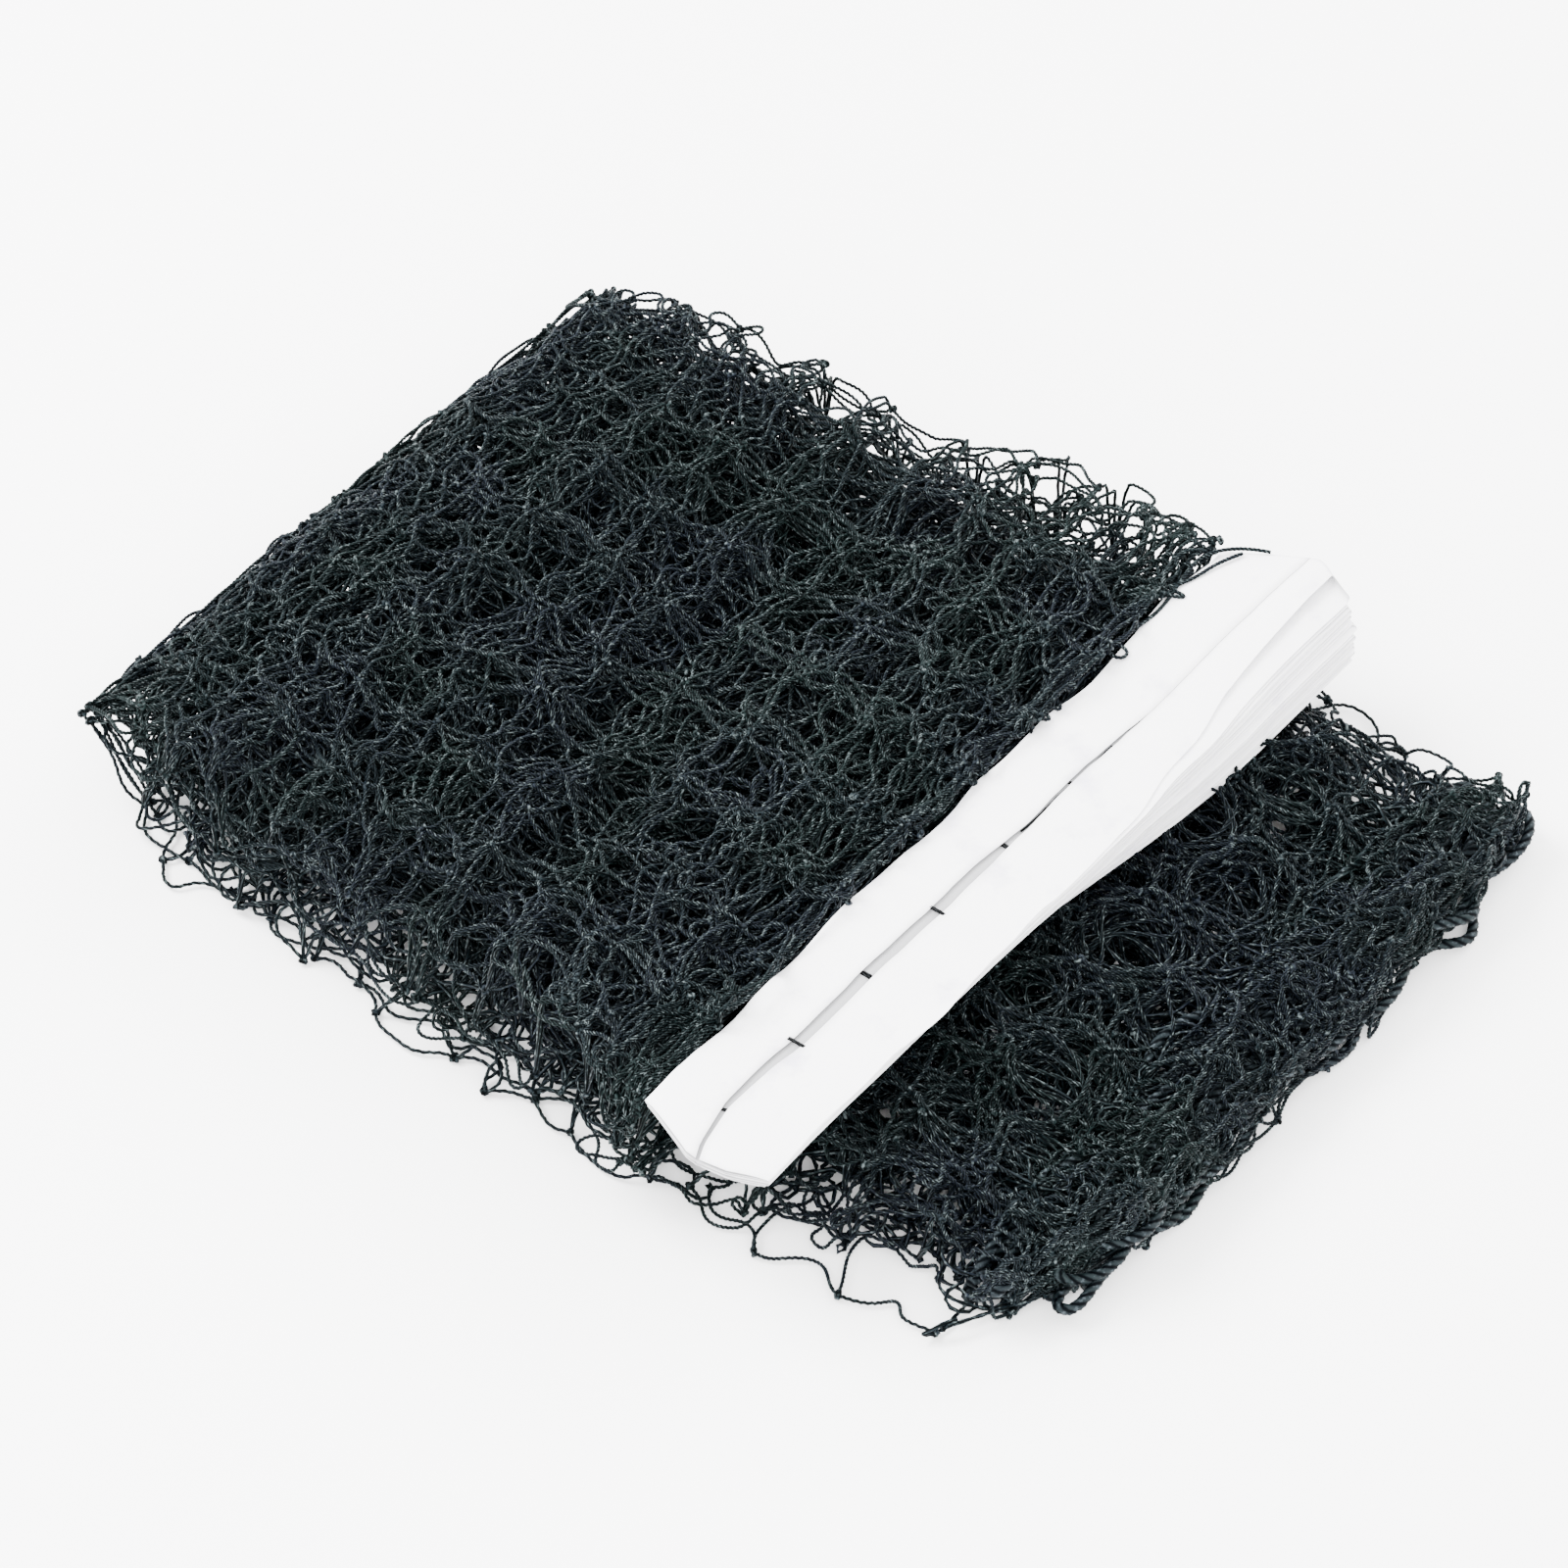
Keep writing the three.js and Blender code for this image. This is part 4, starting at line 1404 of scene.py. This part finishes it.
def crease_band(points):
    """Waves that run through the whole stack, and small creases in the top layers."""
    rng = np.random.default_rng(5)
    x, y, z = points[..., 0], points[..., 1], points[..., 2]
    height = (z - BAND_BOTTOM_Z) / (TOP_LAYER * BAND_PITCH)
    plan = points[..., :2]
    # millimetres high, metres long, and the share of it that each layer has
    waves = (
        (0.5, 0.11, height),
        (0.22, 0.035, np.clip(height * 4 - 3, 0, 1)),
        (0.10, 0.014, np.clip(height * 30 - 29, 0, 1)),
    )
    rise = np.zeros(height.shape)
    for high, wavelength, share in waves:
        rise += high * MM * wave_noise(plan, wavelength, rng) * share
    from_slit = np.clip(np.abs(y - slit_middle(x)) / (28 * MM), 0, 1)
    sway = 0.5 * MM * wave_noise(x[..., None], 0.09, rng) * height
    sway += 0.9 * MM * wave_noise(plan, 0.06, rng) * np.clip(height * 8 - 7, 0, 1) * from_slit
    return np.stack([x + end_shift(x, y), y + sway, z + rise], axis=-1)


# ------------------------------------------------------------------ headband lacing

TICK_PITCH = 45 * MM
TICK_FIRST_X = -196.6 * MM
TICKS = 9
TICK_RADIUS = 0.6 * MM
TICK_STRANDS = (-0.45 * MM, 0.45 * MM)      # each tick is two strands, so far off its middle
LACING_RADIUS = 0.5 * MM
LACING_SEEN = (-8 * MM, 58 * MM)      # where the slit is open enough to show the lacing in it


def tube_part(points, radius, sides=6, turn=0.5, depth=0.12, rng=None):
    return twisted_tubes(np.asarray(points)[None], radius, sides, turn, depth, rng or RNG)


def build_lacing():
    """The twine that ties the flaps together: a bight over the slit at each mesh."""
    parts = []
    rng = np.random.default_rng(3)
    for face, z in ((1, BAND_TOP), (-1, BAND_BOX[0][2])):
        for tick in range(TICKS):
            x = TICK_FIRST_X + TICK_PITCH * tick
            middle = slit_middle(x)
            half = slit_half_width(x)
            for strand in TICK_STRANDS:
                reach = half + 1.6 * MM
                share = np.linspace(-1, 1, 13)
                y = middle + share * reach
                lift = (0.9 * np.cos(share * math.pi / 2) ** 0.5 - 0.2) * MM
                bow = 0.3 * MM * rng.normal() * (1 - share ** 2)
                points = np.stack([x + strand + bow, y, z + face * lift], axis=-1)
                parts.append(tube_part(points, TICK_RADIUS, rng=rng))
        xs = np.arange(-190, 186, 2.0) * MM
        wander = 0.25 * MM * wave_noise(xs[:, None], 0.03, rng)
        height = z + (0.9 * MM if face == 1 else 0)
        run = np.stack([xs, slit_middle(xs) + wander, np.full_like(xs, height)], axis=-1)
        shown = (xs > LACING_SEEN[0]) & (xs < LACING_SEEN[1])
        parts.append(tube_part(run[shown], LACING_RADIUS, rng=rng))
    lacing = mesh_object("headband_lacing_twine", parts, LACING_MATERIAL)
    register(lacing, "upper_half", "headband_lacing")
    return lacing


# ------------------------------------------------------------------ net loops on the band's edge

# millimetres in plan, from knot to knot of the top row of meshes
EDGE_STRANDS = [
    [(188, -106), (186, -100), (182, -94), (176, -88), (166, -84), (150, -86), (132, -89),
     (110, -86), (84, -79)],
    [(180, -97), (174, -94), (166, -91), (156, -90), (146, -86), (138, -80), (130, -72)],
    [(150, -74), (142, -82), (143, -88), (147, -94), (144, -96), (141, -89), (139, -82), (128, -74)],
    [(110, -76), (99, -83), (96, -89), (98, -94), (103, -95), (107, -91), (105, -86), (100, -78)],
    [(66, -76), (58, -84), (56, -89), (59, -93), (63, -90), (62, -82), (70, -74)],
    [(46, -78), (50, -87), (51, -93), (54, -93), (55, -86), (50, -78)],
    [(2, -77), (8, -86), (12, -91), (15, -88), (13, -80), (4, -73)],
    [(-42, -76), (-36, -85), (-33, -90), (-29, -88), (-30, -80), (-38, -74)],
    [(-88, -77), (-82, -86), (-78, -90), (-75, -86), (-77, -78), (-86, -73)],
    [(-134, -76), (-128, -84), (-124, -90), (-120, -86), (-122, -79), (-132, -73)],
]


def build_edge_loops():
    """Bights of the top row of meshes that lie over the headband's edge."""
    parts = []
    for strand in EDGE_STRANDS:
        plan = np.array(strand) * MM
        height = BAND_TOP + (1.6 + 2.2 * smooth_step((plan[:, 1] - BAND_EDGE_Y) / (8 * MM))) * MM
        height = height + end_lift(plan[:, 0], TOP_LAYER)
        route = smooth_route(np.column_stack([plan, height]), 0.9 * MM)
        parts.append(tube_part(route, TWINE_RADIUS, turn=1.0, depth=0.2))
    loops = mesh_object("netting_edge_loops", parts, TWINE)
    register(loops, "upper_half", "netting_upper_half")


# ------------------------------------------------------------------ bottom rope

ROPE_STEP = 2.2 * MM
ROPE_TWIST = 17.0 * MM        # of rope to one full turn of a strand


def build_rope():
    """Three strands laid round each other along the rope's route."""
    route = smooth_route(ROUTE, ROPE_STEP)
    tangent, side, up = (a[0] for a in tube_frames(route[None]))
    rings, sides = len(route), 12
    twist = 2 * math.pi * np.arange(rings) * ROPE_STEP / ROPE_TWIST
    around = np.arange(sides) * (2 * math.pi / sides)
    lobes = np.abs(np.cos(1.5 * around))
    reach = ROPE_RADIUS * (0.80 + 0.20 * lobes ** 0.6)
    angle = twist[:, None] + around
    offset = np.cos(angle)[..., None] * side[:, None] + np.sin(angle)[..., None] * up[:, None]
    vertices = route[:, None] + offset * reach[None, :, None]
    corner = np.arange(rings * sides).reshape(rings, sides)
    quads = faces_between(corner[:-1], corner[1:])
    caps = np.array([corner[0, ::-1], corner[-1]])
    # painted highlight on the crowns of the rope's strands, painted shade between them
    ridges = np.broadcast_to(lobes, (rings, sides)).ravel()
    parts = [(vertices.reshape(-1, 3), quads, caps, ridges)]
    rope = mesh_object("bottom_rope_laid", parts, ROPE_MATERIAL)
    register(rope, "lower_half", "bottom_rope")


TWINE = twine_material(
    "netting_twine",
    green=(0.0024, 0.0070, 0.0066), navy=(0.0034, 0.0054, 0.0100),
    painted_groove_shade=(0.0003, 0.0006, 0.0007), painted_highlight=(0.074, 0.092, 0.094),
)
ROPE_MATERIAL = twine_material(
    "bottom_rope",
    green=(0.0026, 0.0060, 0.0064), navy=(0.0030, 0.0052, 0.0072),
    painted_groove_shade=(0.0004, 0.0007, 0.0012), painted_highlight=(0.030, 0.038, 0.044),
)
LACING_MATERIAL = twine_material(
    "lacing_twine",
    green=(0.003, 0.003, 0.003), navy=(0.002, 0.002, 0.003),
    painted_groove_shade=(0.0005, 0.0005, 0.0005), painted_highlight=(0.012, 0.012, 0.013),
)
CLOTH_MATERIAL = cloth_material()

make_camera()
make_studio()
NETTING = build_netting()
BAND = build_headband()
LACING = build_lacing()
build_rope()
build_edge_loops()
